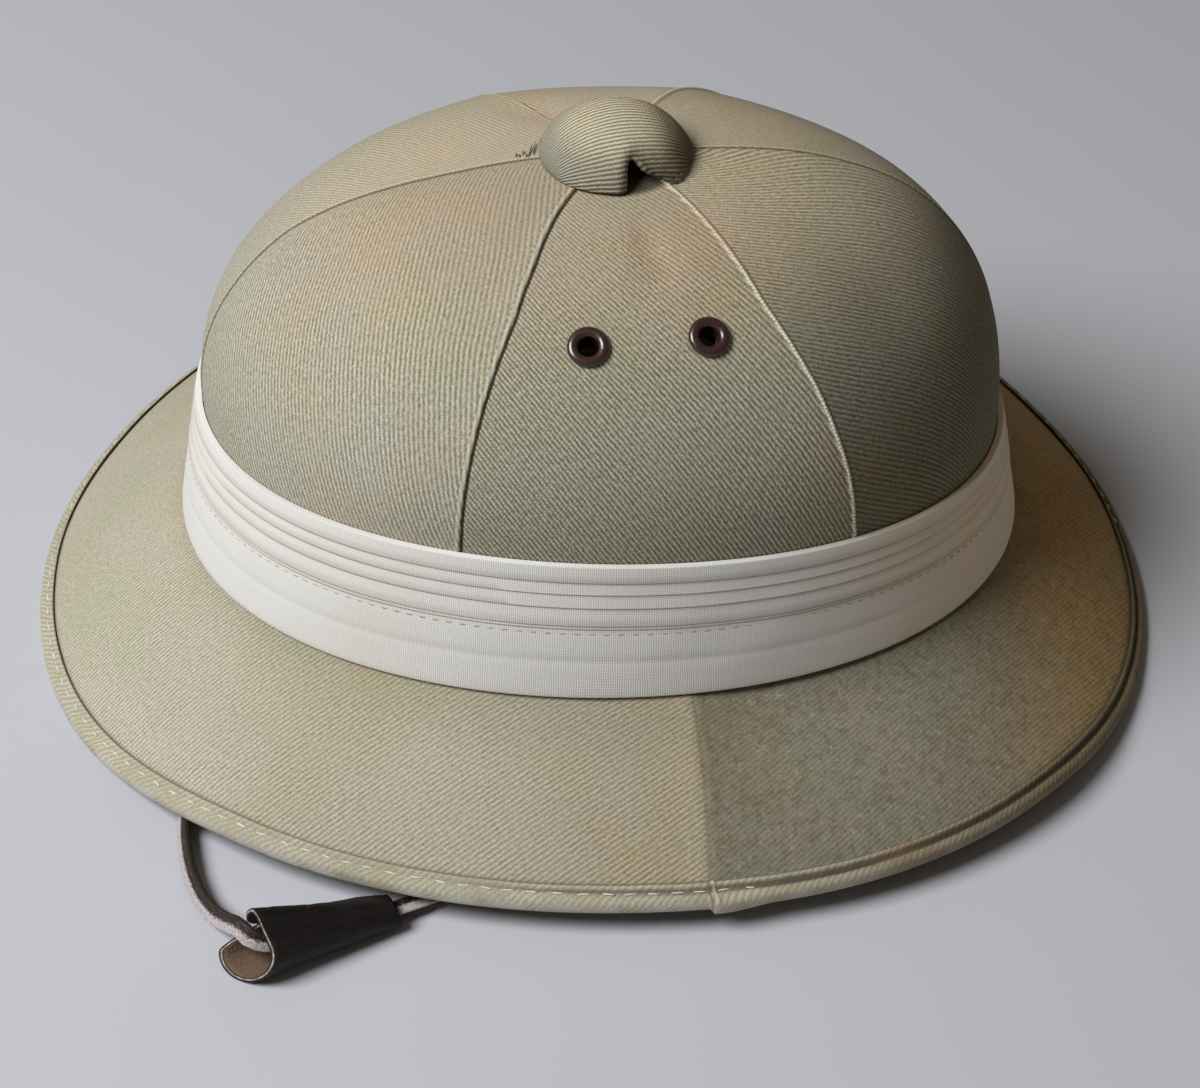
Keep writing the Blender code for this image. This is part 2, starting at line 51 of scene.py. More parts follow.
# The form that every piece follows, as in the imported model, in metres.
# Angles go round from the side with the eyelets: 0 is -Y, 90 the back (+X), 180 +Y and 270 the front (-X).
helmetForm = {
    "gap": 0.0003,  # between two pieces
    "brimWidestX": 0.0100,
    "brimFront": 0.1721,  # from the widest place to its front edge
    "brimBack": 0.1521,
    "brimHalfWidth": 0.1443,
    "brimSquareness": 2.11,  # 2 is an ellipse
    "sideArch": 0.0075,  # the brim's edge lifts at both sides
    "archStart": 0.04,
    "archFull": 0.60,
    "brimThickness": 0.0038,
    "brimEdgeRise": 0.0032,
    "brimCrown": 0.0020,
    "brimEdgeFlat": 0.0022,
    "seatCentreX": 0.0018,
    "seatHalfLength": 0.1200,
    "seatHalfWidth": 0.0996,
    "seatHeight": 0.0345,  # of the line where the crown leaves the brim
    "seatArch": 0.0074,
    "seatTilt": -0.0017,
    "bandHeight": 0.0357,  # from the seat to the band's head
    "bandArch": 0.0031,
    "bandTilt": -0.0033,
    "bandLean": 0.0068,
    "bandFoot": 0.0025,  # the band's cloth at its foot and at its head
    "bandHead": 0.0015,
    "bandLift": 0.0006,
    "crownTop": 0.1462,
    "crownWall": 0.0060,
    "crownSkirt": 0.0060,  # how far the crown's wall goes down inside the brim
    "peakShift": 0.0020,
    "riseAlong": 2.29,  # how the dome rises and how full it is, along and across
    "riseAcross": 2.00,
    "fullFront": 2.28,
    "fullBack": 2.68,
    "fullAcross": 2.16,
    "clothOnEdge": 0.0010,
}


def mixed(a, b, share):
    return a + (b - a) * share


def eased(value, low, high):
    share = min(max((value - low) / (high - low), 0.0), 1.0)
    return share * share * (3.0 - 2.0 * share)


def alongTable(table, place):
    # straight lines between the rows of (place, value)
    places = [row[0] for row in table]
    index = min(max(bisect.bisect_right(places, place), 1), len(table) - 1)
    (start, low), (end, high) = table[index - 1], table[index]
    return mixed(low, high, min(max((place - start) / (end - start), 0.0), 1.0))


def smoothRow(rows, place):
    # a smooth curve through the rows, column by column
    index = min(int(place), len(rows) - 2)
    share = place - index
    before, start = rows[max(index - 1, 0)], rows[index]
    end, after = rows[index + 1], rows[min(index + 2, len(rows) - 1)]
    columns = []
    for a, b, c, d in zip(before, start, end, after):
        curve = 2 * b + (c - a) * share + (2 * a - 5 * b + 4 * c - d) * share**2
        columns.append((curve + (3 * b - a - 3 * c + d) * share**3) / 2.0)
    return columns


def hump(value, middle, spread):
    # 1 at the middle, falling away softly on both sides
    return math.exp(-(((value - middle) / spread) ** 2))


def halfTurn(degrees):
    # the same direction, from -180 to 180
    return (degrees + 180.0) % 360.0 - 180.0


def pathLengths(points):
    # how far along its path each point lies
    lengths = [0.0]
    for here, there in zip(points, points[1:]):
        lengths.append(lengths[-1] + (there - here).length)
    return lengths


def signedPower(value, exponent):
    return math.copysign(abs(value) ** exponent, value)


def ringPoint(angle, halfLength, halfWidth, squareness=2.0):
    along = signedPower(math.sin(angle), 2.0 / squareness) * halfLength
    across = -signedPower(math.cos(angle), 2.0 / squareness) * halfWidth
    return Vector((along, across, 0.0))


def seatHeight(angle):
    form = helmetForm
    return form["seatHeight"] + form["seatArch"] * math.cos(angle) ** 2 + form["seatTilt"] * math.sin(angle)


def bandHeight(angle):
    form = helmetForm
    return form["bandHeight"] + form["bandArch"] * math.cos(angle) ** 2 + form["bandTilt"] * math.sin(angle)


def edgePoint(angle):
    form = helmetForm
    share = (math.cos(angle) ** 2 - form["archStart"]) / (form["archFull"] - form["archStart"])
    lift = form["sideArch"] * eased(share, 0.0, 1.0)
    halfLength = form["brimFront"] if math.sin(angle) < 0 else form["brimBack"]
    point = ringPoint(angle, halfLength, form["brimHalfWidth"], form["brimSquareness"])
    return point + Vector((form["brimWidestX"], 0.0, lift))


def wallPoint(angle, share, outwards=0.0):
    form = helmetForm
    inset = mixed(form["bandFoot"], form["bandLean"] + form["bandHead"], share) - outwards
    point = ringPoint(angle, form["seatHalfLength"] - inset, form["seatHalfWidth"] - inset)
    return point + Vector((form["seatCentreX"], 0.0, seatHeight(angle) + share * bandHeight(angle)))


def domePoint(angle, share):
    # share goes from 0 at the puggaree's head to 1 at the peak
    form = helmetForm
    rise = math.sin(share * math.pi / 2.0)
    inset = form["bandLean"] + form["bandHead"]
    fullness = form["fullFront"] if math.sin(angle) < 0 else form["fullBack"]
    along = max(1.0 - rise ** form["riseAlong"], 0.0) ** (1.0 / fullness)
    across = max(1.0 - rise ** form["riseAcross"], 0.0) ** (1.0 / form["fullAcross"])
    point = ringPoint(angle, form["seatHalfLength"] - inset, form["seatHalfWidth"] - inset)
    foot = seatHeight(angle) + bandHeight(angle)
    shift = form["seatCentreX"] + form["peakShift"] * rise * rise
    return Vector((point.x * along + shift, point.y * across, mixed(foot, form["crownTop"], rise)))


def domeNormal(angle, share):
    step, lowest, highest = 0.01, 0.011, 0.97  # at the very peak the two ways along the dome meet
    share = min(max(share, lowest), highest)
    roundWay = domePoint(angle + step, share) - domePoint(angle - step, share)
    upWay = domePoint(angle, share + step) - domePoint(angle, share - step)
    return roundWay.cross(upWay).normalized()


def wander(point, size, seed=0.0):
    # smooth waves, about -1 to 1, that the same point always gets
    return noise.noise(Vector((point.x / size + seed, point.y / size, point.z / size)))


# Making meshes: a section is spun into a skin, and each of its points is then put in place
def spunSkin(rows, columns, place, uvMaps, closedSection=True, wholeTurn=True):
    # uvMaps gives, for each map, a function of row, column and the column that the face starts at
    first, apart = 1.0, 0.01  # the section lies out along X until its points are put in place
    bm = bmesh.new()
    line = [bm.verts.new((first + apart * row, 0.0, 0.0)) for row in range(rows)]
    after = line[1:] + line[:1] if closedSection else line[1:]
    edges = [bm.edges.new(pair) for pair in zip(line, after)]
    steps = columns if wholeTurn else columns - 1
    turn = math.tau if wholeTurn else math.pi
    around = {"cent": (0, 0, 0), "axis": (0, 0, 1), "dvec": (0, 0, 0), "angle": turn}
    bmesh.ops.spin(bm, geom=line + edges, steps=steps, use_merge=wholeTurn, **around)
    spots = {}
    for vert in bm.verts:
        row = round((math.hypot(vert.co.x, vert.co.y) - first) / apart)
        column = round((math.atan2(vert.co.y, vert.co.x) % math.tau) / turn * steps)
        spots[vert] = (row, column % columns if wholeTurn else column)
    for vert, (row, column) in spots.items():
        vert.co = place(row, column)
    layers = [(bm.loops.layers.uv.new(label), uvOf) for label, uvOf in uvMaps.items()]
    for face in bm.faces:
        # a face that closes the turn or the section counts on instead of going back to 0
        corners = [spots[loop.vert] for loop in face.loops]
        low, high = min(c for _, c in corners), max(c for _, c in corners)
        start = low if high - low < 2 else columns - 1
        lowRow, highRow = min(r for r, _ in corners), max(r for r, _ in corners)
        for loop, (row, column) in zip(face.loops, corners):
            column = column if column >= start else column + columns
            row = rows if highRow - lowRow > 1 and row == 0 else row
            for layer, uvOf in layers:
                loop[layer].uv = uvOf(row, column, start)
    return bm


def meshObject(name, bm, group=pieces):
    mesh = bpy.data.meshes.new(name)
    bm.to_mesh(mesh)
    bm.free()
    made = bpy.data.objects.new(name, mesh)
    group.objects.link(made)
    return made


def finishPiece(name, bm, material, replaced=(), crease=180.0, within=None):
    # crease is the angle, in degrees, past which an edge stays sharp
    bmesh.ops.remove_doubles(bm, verts=bm.verts, dist=0.000002)
    bmesh.ops.recalc_face_normals(bm, faces=bm.faces)
    piece = meshObject(name, bm)
    piece.data.shade_smooth()
    piece.data.set_sharp_from_angle(angle=math.radians(crease))
    for part in (material, within) if within else (material,):
        piece.data.materials.append(part)
    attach(piece, "root")
    if replaced:
        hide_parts(*replaced)
    return piece


def addWall(piece, thickness, even=False):
    # the skin gets its thickness inwards, in the second of its materials
    wall = piece.modifiers.new("wall", "SOLIDIFY")
    wall.thickness, wall.offset = thickness, -1.0
    wall.material_offset, wall.use_even_offset = 1, even


# Materials: numbers from sockets are added and multiplied as in Python
class Wire:
    def __init__(self, finish, socket):
        self.finish = finish
        self.socket = socket

    def maths(self, operation, *others):
        return self.finish.node("ShaderNodeMath", {"operation": operation}, dict(enumerate((self, *others))))

    def reflected(self, operation, other):
        return self.finish.node("ShaderNodeMath", {"operation": operation}, {0: other, 1: self})

    def __add__(self, other):
        return self.maths("ADD", other)

    def __sub__(self, other):
        return self.maths("SUBTRACT", other)

    def __mul__(self, other):
        return self.maths("MULTIPLY", other)

    def __truediv__(self, other):
        return self.maths("DIVIDE", other)

    def __radd__(self, other):
        return self.reflected("ADD", other)

    def __rsub__(self, other):
        return self.reflected("SUBTRACT", other)

    def __rmul__(self, other):
        return self.reflected("MULTIPLY", other)

    def __rtruediv__(self, other):
        return self.reflected("DIVIDE", other)

    def wave(self):
        # 1 on each whole number, 0 half way between two
        return (self * math.tau).maths("COSINE") * 0.5 + 0.5

    def step(self, low, high):
        # a soft step from 0 below low to 1 above high
        settings = {"interpolation_type": "SMOOTHSTEP", "clamp": True}
        falls = float(low > high)
        values = {"Value": self, "From Min": min(low, high), "From Max": max(low, high)}
        values.update({"To Min": falls, "To Max": 1.0 - falls})
        return self.finish.node("ShaderNodeMapRange", settings, values)

    def awayFrom(self, spot):
        return self.finish.node("ShaderNodeVectorMath", {"operation": "DISTANCE"}, {0: self, 1: spot}, 1)

    def near(self, middle, reach):
        # 1 at the middle, falling softly to 0 at its reach
        return (self - middle).maths("ABSOLUTE").step(reach, 0.0)


class Finish:
    def __init__(self, name):
        self.material = bpy.data.materials.new(name)
        self.material.use_nodes = True
        self.tree = self.material.node_tree
        self.shader = self.tree.nodes["Principled BSDF"]
        self.coords = self.node("ShaderNodeTexCoord", out=3)  # the Object output
        self.colour = None  # what has been painted so far

    def feed(self, socket, value):
        if isinstance(value, Wire):
            self.tree.links.new(value.socket, socket)
        else:
            socket.default_value = value

    def node(self, kind, settings=None, values=None, out=0):
        made = self.tree.nodes.new(kind)
        for key, value in (settings or {}).items():
            setattr(made, key, value)
        for key, value in (values or {}).items():
            self.feed(made.inputs[key], value)
        return Wire(self, made.outputs[out])

    def apart(self, vector):
        split = self.tree.nodes.new("ShaderNodeSeparateXYZ")
        self.feed(split.inputs[0], vector)
        return [Wire(self, output) for output in split.outputs]

    def uvOf(self, label):
        return self.apart(self.node("ShaderNodeUVMap", {"uv_map": label}))[:2]

    def grain(self, scale, detail=2.0, roughness=0.5, vector=None):
        values = {"Vector": vector or self.coords, "Scale": scale, "Detail": detail, "Roughness": roughness}
        return self.node("ShaderNodeTexNoise", None, values)

    def streaks(self, along, across, detail=2.0, roughness=0.5):
        # grain that is drawn out along a cloth or a strap
        return self.grain(1.0, detail, roughness, self.node("ShaderNodeCombineXYZ", None, {0: along, 1: across}))

    def cells(self, scale):
        return self.node("ShaderNodeTexVoronoi", None, {"Vector": self.coords, "Scale": scale})

    def blended(self, share, first, second, how="MIX"):
        settings = {"data_type": "RGBA", "blend_type": how, "clamp_factor": True}
        first, second = (value if isinstance(value, Wire) else (*value, 1.0) for value in (first, second))
        return self.node("ShaderNodeMix", settings, {0: share, 6: first, 7: second}, 2)

    def paint(self, share, colour, over=None):
        self.colour = self.blended(share, over or self.colour, colour)

    def tint(self, share, colour):
        self.colour = self.blended(share, self.colour, colour, "MULTIPLY")

    def done(self, roughness, height=None, strength=1.0, distance=0.001, **constants):
        values = {"Base Color": self.colour, "Roughness": roughness, **constants}
        if height:
            bumps = {"Strength": strength, "Distance": distance, "Height": height}
            values["Normal"] = self.node("ShaderNodeBump", None, bumps)
        for key, value in values.items():
            self.feed(self.shader.inputs[key.replace("_", " ")], value)
        return self.material


# The camera, where the photograph was taken from
cameraPlace = {
    "spot": (-0.0623, -0.6348, 0.5415),
    "forward": (0.07737, 0.76534, -0.63896),
    "up": (0.04266, 0.63775, 0.76906),
    "lens": 84.33,
    "sensor": 36.0,
    "clip": (0.02, 20.0),
}


def makeCamera():
    data = bpy.data.cameras.new("camera")
    data.lens = cameraPlace["lens"]
    data.sensor_width, data.sensor_fit = cameraPlace["sensor"], "HORIZONTAL"
    data.clip_start, data.clip_end = cameraPlace["clip"]
    forward, up = Vector(cameraPlace["forward"]).normalized(), Vector(cameraPlace["up"])
    up = (up - forward * forward.dot(up)).normalized()
    right = forward.cross(up)
    turned = Matrix((right, up, -forward)).transposed().to_4x4()
    camera = bpy.data.objects.new("camera", data)
    camera.matrix_world = Matrix.Translation(cameraPlace["spot"]) @ turned
    bpy.context.scene.collection.objects.link(camera)
    bpy.context.scene.camera = camera


makeCamera()
print("camera made")


# Leather of the chin strap and its sleeve
def strapLeather():
    finish = Finish("strapLeather")
    along, across = finish.uvOf("leather")  # metres along, and 0 to 4 round the section: face, edge, back, edge
    grain = finish.streaks(along * 1400.0, across * 6.0, 3.0, 0.6)
    pores = finish.cells(1700.0)
    cracks = finish.streaks(along * 260.0, across * 1.3, 4.0, 0.7).step(0.60, 0.72)
    flecks = finish.streaks(along * 520.0, across * 9.0, 3.0, 0.75).step(0.57, 0.70)
    border = across + (grain - 0.5) * 0.35
    # painted sheen: the leather is painted pale on its lower edge, and less so along the middle of its face, where the
    # smooth leather reflects the light
    wearAndSheen = border.step(2.42, 2.60) * border.step(3.30, 3.05)
    wearAndSheen = wearAndSheen + border.step(0.10, 0.25) * border.step(0.70, 0.50) * 0.4
    face = finish.blended(grain.step(0.3, 0.75), *chinStrap["leather"])
    face = finish.blended(flecks * 0.55, face, chinStrap["flecks"])
    pale = finish.blended(grain.step(0.3, 0.75), *chinStrap["wearAndSheen"])
    finish.paint(wearAndSheen, pale, over=face)
    finish.paint(cracks * 0.45, chinStrap["cracks"])
    height = grain * 0.5 + pores * 0.35 - cracks * 0.5
    return finish.done(0.50 + grain * 0.20, height, 0.35, 0.0004, Specular_IOR_Level=0.25)


chinStrap = {
    "width": 0.0050,
    "thickness": 0.0019,
    "fineness": 20,  # samples between two rows of the route
    "step": 0.0026,  # length of one piece of its strip
    "rounding": 0.0004,
    "exit": (0.0020, -0.0871, 0.0540),
    "leather": ((0.016, 0.010, 0.007), (0.036, 0.024, 0.018)),
    # painted sheen: the pale colours where the smooth leather reflects the light
    "wearAndSheen": ((0.340, 0.290, 0.285), (0.560, 0.490, 0.485)),
    "flecks": (0.30, 0.26, 0.18),
    "cracks": (0.03, 0.018, 0.012),
    "fray": 0.00012,
    # x, y, height of the lower edge, heading, and lean of the width from level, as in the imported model
    "route": (
        (0.0020, -0.0871, 0.0530, -90, 0),
        (0.0020, -0.0885, 0.0440, -90, 0),
        (0.0012, -0.0897, 0.0350, -92, 0),
        (-0.0020, -0.0930, 0.0240, -100, 0),
        (-0.0090, -0.0990, 0.0120, -112, 0),
        (-0.0200, -0.1075, 0.0040, -124, 0),
        (-0.0340, -0.1175, 0.0014, -136, 0),
        (-0.0490, -0.1275, 0.0014, -148, 0),
        (-0.0630, -0.1346, 0.0027, -157, 2),
        (-0.0750, -0.1397, 0.0036, -157, 6),
        (-0.0860, -0.1443, 0.0042, -158, 25),
        (-0.0940, -0.1470, 0.0050, -166, 50),
        (-0.0993, -0.1472, 0.0070, -190, 58),
        (-0.1024, -0.1442, 0.0080, -222, 60),
        (-0.1056, -0.1396, 0.0052, -237, 60),
        (-0.1092, -0.1334, 0.0016, -240, 60),
        (-0.1126, -0.1268, 0.0003, -245, 60),
        (-0.1153, -0.1196, 0.0003, -252, 60),
        (-0.1173, -0.1095, 0.0003, -262, 60),
        (-0.1180, -0.0985, 0.0003, -270, 60),
        (-0.1168, -0.0850, 0.0003, -278, 44),
        (-0.1120, -0.0690, 0.0003, -288, 18),
        (-0.1040, -0.0520, 0.0003, -298, 4),
        (-0.0930, -0.0340, 0.0003, -303, 0),
        (-0.0800, -0.0150, 0.0003, -306, 0),
        (-0.0655, 0.0040, 0.0003, -308, 0),
        (-0.0500, 0.0230, 0.0003, -308, 0),
        (-0.0340, 0.0415, 0.0005, -304, 0),
        (-0.0190, 0.0580, 0.0030, -296, 0),
        (-0.0070, 0.0720, 0.0095, -286, 0),
        (0.0000, 0.0820, 0.0200, -276, 0),
        (0.0020, 0.0880, 0.0320, -270, 0),
        (0.0020, 0.0885, 0.0440, -270, 0),
        (0.0020, 0.0871, 0.0530, -270, 0),
    ),
}


def strapFrames():
    # centre, width direction and face direction at equal steps of the strap's length
    samples = []
    route, fineness = chinStrap["route"], chinStrap["fineness"]
    for step in range(fineness * (len(route) - 1) + 1):
        x, y, height, heading, lean = smoothRow(route, step / fineness)
        turn, tip = math.radians(heading), math.radians(max(lean, 0.0))
        half = (chinStrap["width"] * math.sin(tip) + chinStrap["thickness"] * math.cos(tip)) / 2.0
        samples.append((Vector((x, y, height + half)), Vector((math.sin(turn), -math.cos(turn), 0.0)), tip))
    centres = [centre for centre, _, _ in samples]
    lengths = pathLengths(centres)
    parts = round(lengths[-1] / chinStrap["step"])
    frames = []
    for part in range(parts + 1):
        wanted = lengths[-1] * part / parts
        place = min(max(bisect.bisect_left(lengths, wanted), 1), len(samples) - 1)
        along = (centres[min(place + 1, len(samples) - 1)] - centres[place - 1]).normalized()
        _, sideways, tip = samples[place]
        level = (sideways - along * sideways.dot(along)).normalized()
        width = level * math.cos(tip) + level.cross(along) * math.sin(tip)
        share = (wanted - lengths[place - 1]) / (lengths[place] - lengths[place - 1])
        frames.append((centres[place - 1].lerp(centres[place], share), width, along.cross(width).normalized()))
    return frames, lengths[-1]


def makeStrap():
    frames, length = strapFrames()
    half, thick, corner = chinStrap["width"] / 2.0, chinStrap["thickness"] / 2.0, chinStrap["rounding"]
    # round the section: across its face, down an edge, back across, and up the other edge
    section, rounded = [], 0.7
    for side, (a, b) in enumerate(((half, thick), (half, -thick), (-half, -thick), (-half, thick))):
        a2, b2 = a - math.copysign(corner, a), b - math.copysign(corner, b)
        first, second = ((a2, b), (a, b2)) if side % 2 == 0 else ((a, b2), (a2, b))
        section += [first, (mixed(a2, a, rounded), mixed(b2, b, rounded)), second]
    marks = (0.9, 1.0, 1.1, 1.9, 2.0, 2.1, 2.9, 3.0, 3.1, 3.9, 4.0, 4.1, 4.9)
    columns = len(frames)

    def place(row, column):
        centre, width, face = frames[column]
        across, up = section[row]
        fray = chinStrap["fray"] * wander(centre + width * across, 0.0035)
        return centre + width * (across + fray) + face * (up + fray * 0.5)

    def leatherUv(row, column, start):
        return (length * column / (columns - 1), marks[row] % 4.0 if row else marks[0])

    bm = spunSkin(len(section), columns, place, {"leather": leatherUv}, wholeTurn=False)
    bmesh.ops.holes_fill(bm, edges=[edge for edge in bm.edges if edge.is_boundary], sides=0)
    strap = finishPiece("chinStrap", bm, strapLeather(), ("chin_strap",), crease=60.0)
    print("chin strap made,", round(length, 4), "m long")
    return strap, [centre for centre, _, _ in frames], length


def sleeveLeather():
    finish = Finish("sleeveLeather")
    along, around = finish.uvOf("leather")  # metres along, share round; 10 is added on the inside and 5 on the rim
    inside, onRim = along.step(8.0, 9.0), along.near(5.0, 2.4)
    wrinkles = finish.streaks(along * 150.0, around * 26.0, 4.0, 0.65)
    pores = finish.cells(1500.0)
    # worn, paler patches on the sleeve's leather
    wearAndSheen = finish.grain(160.0, 4.0, 0.7).step(0.52, 0.78)
    outer = finish.blended(wrinkles.step(0.35, 0.75), *strapSleeve["leather"])
    outer = finish.blended(wearAndSheen * 0.45, outer, strapSleeve["wearAndSheen"])
    inner = finish.blended(wrinkles, *strapSleeve["inside"])
    # painted shade: the inside is painted darker higher up
    inner = finish.blended(finish.apart(finish.coords)[2].step(0.0035, 0.0100), inner, strapSleeve["insideShadeAbove"])
    finish.paint(inside, inner, over=outer)
    frayed = finish.grain(900.0, 3.0, 0.7).step(0.35, 0.62)
    finish.paint(onRim, finish.blended(frayed, *strapSleeve["rim"]))
    height = wrinkles * 0.7 + pores * 0.3
    rough = 0.44 + wrinkles * 0.2 + inside * 0.25
    return finish.done(rough, height, 0.5, 0.0008, Specular_IOR_Level=0.3)


strapSleeve = {
    "tail": (-0.0632, -0.1348),
    "mouth": (-0.1005, -0.1505),
    "lift": 0.0003,
    "wall": 0.0013,
    # share of its length, half width, half height, and height of its flap
    "sections": (
        (0.00, 0.0051, 0.0034, 0.0000),
        (0.18, 0.0055, 0.0046, 0.0004),
        (0.42, 0.0060, 0.0056, 0.0016),
        (0.72, 0.0066, 0.0064, 0.0042),
        (1.00, 0.0073, 0.0070, 0.0074),
    ),
    "rows": 26,  # from tail to mouth
    "sides": 72,
    "flapAngle": 80.0,
    "flapSpread": 24.0,
    "slantAcross": 0.55,
    "slantUp": -0.55,
    "nickAngle": 22.0,
    "nickSpread": 46.0,
    "nickDepth": 0.0100,
    "lap": 0.0007,  # the outer turn of the roll stands this proud at its edge
    "lapAngle": 96.0,
    "length": 0.04,
    "leather": ((0.005, 0.003, 0.003), (0.015, 0.009, 0.009)),
    "wearAndSheen": (0.042, 0.023, 0.019),
    "inside": ((0.075, 0.046, 0.028), (0.200, 0.130, 0.080)),
    # painted shade, higher up inside
    "insideShadeAbove": (0.022, 0.013, 0.008),
    "rim": ((0.20, 0.14, 0.09), (0.62, 0.55, 0.42)),
}


def makeSleeve():
    form = strapSleeve
    tail, mouth = Vector((*form["tail"], 0.0)), Vector((*form["mouth"], 0.0))
    along = (mouth - tail).normalized()
    inwards = Vector((along.y, -along.x, 0.0))
    rows, sides, sections = form["rows"], form["sides"], form["sections"]
    count = rows * 2 + 2  # outside, rim of the mouth, inside, rim of the tail

    def place(row, column):
        inside = row > rows
        step = row - 1 if inside else row
        level = min(step, 2 * rows - step) / (rows - 1) if inside else row / (rows - 1)
        level = min(max(level, 0.0), 1.0)
        wall = form["wall"] * 0.5 if row in (rows, count - 1) else (form["wall"] if inside else 0.0)
        share, halfWidth, halfHeight, flap = smoothRow(sections, level * (len(sections) - 1))
        turn = math.tau * column / sides
        angle = math.degrees(turn)
        away = abs(angle - form["nickAngle"])
        away = min(away, 360.0 - away) / form["nickSpread"]
        nick = form["nickDepth"] * (0.5 + 0.5 * math.cos(math.pi * min(away, 1.0)))
        across = math.cos(turn) * (halfWidth - wall)
        lift = math.sin(turn) * (halfHeight - wall)
        peak = flap * hump(angle, form["flapAngle"], form["flapSpread"])
        slant = across * form["slantAcross"] + lift * form["slantUp"] - nick
        spot = tail.lerp(mouth, share) + inwards * across + along * (slant * share)
        spot = spot + Vector((0.0, 0.0, form["lift"] + halfHeight + lift + peak))
        if inside:
            return spot
        # the overlap's edge, and creases across the leather
        behind = (angle - form["lapAngle"]) % 360.0
        proud = form["lap"] * (1.0 - eased(behind, 0.0, 9.0) if behind < 180.0 else eased(behind, 250.0, 358.0))
        proud = proud * 0.55 * eased(level, 0.0, 0.2)
        crease = 0.00022 * wander(spot, 0.0032) + 0.00018 * wander(spot, 0.0075, 4.0)
        outward = inwards * math.cos(turn) + Vector((0.0, 0.0, math.sin(turn)))
        return spot + outward * (proud + crease * max(math.sin(turn) + 0.6, 0.0) * 0.6)

    def leatherUv(row, column, start):
        if row in (rows, count - 1):
            return (5.0, column / sides)
        if row > rows:
            return (10.0 + form["length"] * (2 * rows - row + 1) / rows, column / sides)
        return (form["length"] * row / rows, column / sides)

    bm = spunSkin(count, sides, place, {"leather": leatherUv})
    return finishPiece("strapSleeve", bm, sleeveLeather(), ("strap_sleeve",), crease=70.0)


strap, strapPath, strapLength = makeStrap()
sleeve = makeSleeve()
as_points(strapPath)
print("sleeve made")


# Twill of the crown, the brim and the button
twillLook = {
    "pitch": 0.00124,  # from one diagonal line to the next
    "paleLine": (0.560, 0.530, 0.425),
    "darkLine": (0.190, 0.174, 0.124),
    "lint": (0.70, 0.67, 0.57),
    "grime": (0.120, 0.100, 0.064),
    "olive": (0.86, 0.93, 0.80),
    "warm": (1.08, 0.97, 0.88),
    "stainStrength": 0.40,
}


def stained(finish, stains):
    # soft marks: centre, reach, and the colour that the cloth is multiplied by
    ragged = (finish.grain(85.0, 4.0, 0.65) - 0.5) * 1.5
    for centre, reach, tint in stains:
        mark = (finish.coords.awayFrom(centre) / (reach * 1.25) + ragged).step(1.10, 0.05)
        finish.tint(mark * twillLook["stainStrength"], tint)


def crownMarks(finish):
    x, y, z = finish.apart(finish.coords)
    gap, way = finish.uvOf("seams")  # distance from the nearest seam, and metres along it
    # the top is a warmer tan, the near side is darker low down, the back is yellower,
    # and a painted shadow darkens the cloth under the button
    finish.tint(z.step(0.110, 0.142), (1.08, 0.98, 0.89))
    # darker low down on the near side
    lowOnNearSide = z.step(0.122, 0.084) * y.step(-0.020, -0.070) * x.step(-0.075, -0.035)
    finish.tint(lowOnNearSide * 0.20, (0.54, 0.55, 0.52))
    finish.tint(x.step(0.02, 0.09) * z.step(0.135, 0.090), (1.00, 0.92, 0.72))
    # painted shadow: the cloth under the button, out to just past its rim, is painted nearly black
    underButton = finish.coords.awayFrom((0.0038, 0.0, 0.146)).step(0.0206, 0.0180)
    finish.paint(underButton * 0.88, (0.055, 0.043, 0.028))
    # 10 is added to the way along a corded seam, and 20 along a plain one
    lapped, plain = way.step(6.0, 5.0), way.step(15.0, 16.0)
    corded = way.step(5.0, 6.0) * way.step(16.0, 15.0)
    ragged = finish.grain(420.0)
    beads = (way / 0.00105 + ragged * 0.8).wave()
    dashes = (way / 0.0020).wave().step(0.30, 0.5)
    uneven = gap + (ragged - 0.5) * 0.0007
    # the lapped seam: its pale fold, a row of stitches and a painted shadow line under its edge
    finish.paint(gap.near(0.00105, 0.00105) * lapped * 0.35, twillLook["paleLine"])
    finish.paint(gap.near(0.00175, 0.00040) * lapped * dashes * 0.75, (0.16, 0.135, 0.085))
    finish.paint(uneven.near(-0.00024, 0.00066) * lapped * 0.95, (0.040, 0.028, 0.018))
    # the corded seams: a pale rope of stitches between two dark lines
    rope = (1.5 * uneven.near(0.0, 0.00085)).step(0.0, 1.0) * corded * (1.0 - z.step(0.130, 0.143) * 0.35)
    finish.paint(rope * (beads.step(0.15, 0.75) * 0.62 + 0.30), (0.78, 0.76, 0.60))
    sides = gap.near(0.00115, 0.00045) + gap.near(-0.00115, 0.00045)
    finish.paint(sides * corded * 0.42, (0.16, 0.135, 0.09))
    # the plain seams: whip stitches over a painted shadow line at the join
    finish.paint(gap.near(0.00055, 0.00050) * plain * beads * 0.55, (0.66, 0.62, 0.48))
    finish.paint(gap.near(-0.00016, 0.00058) * plain * 0.86, (0.085, 0.058, 0.036))


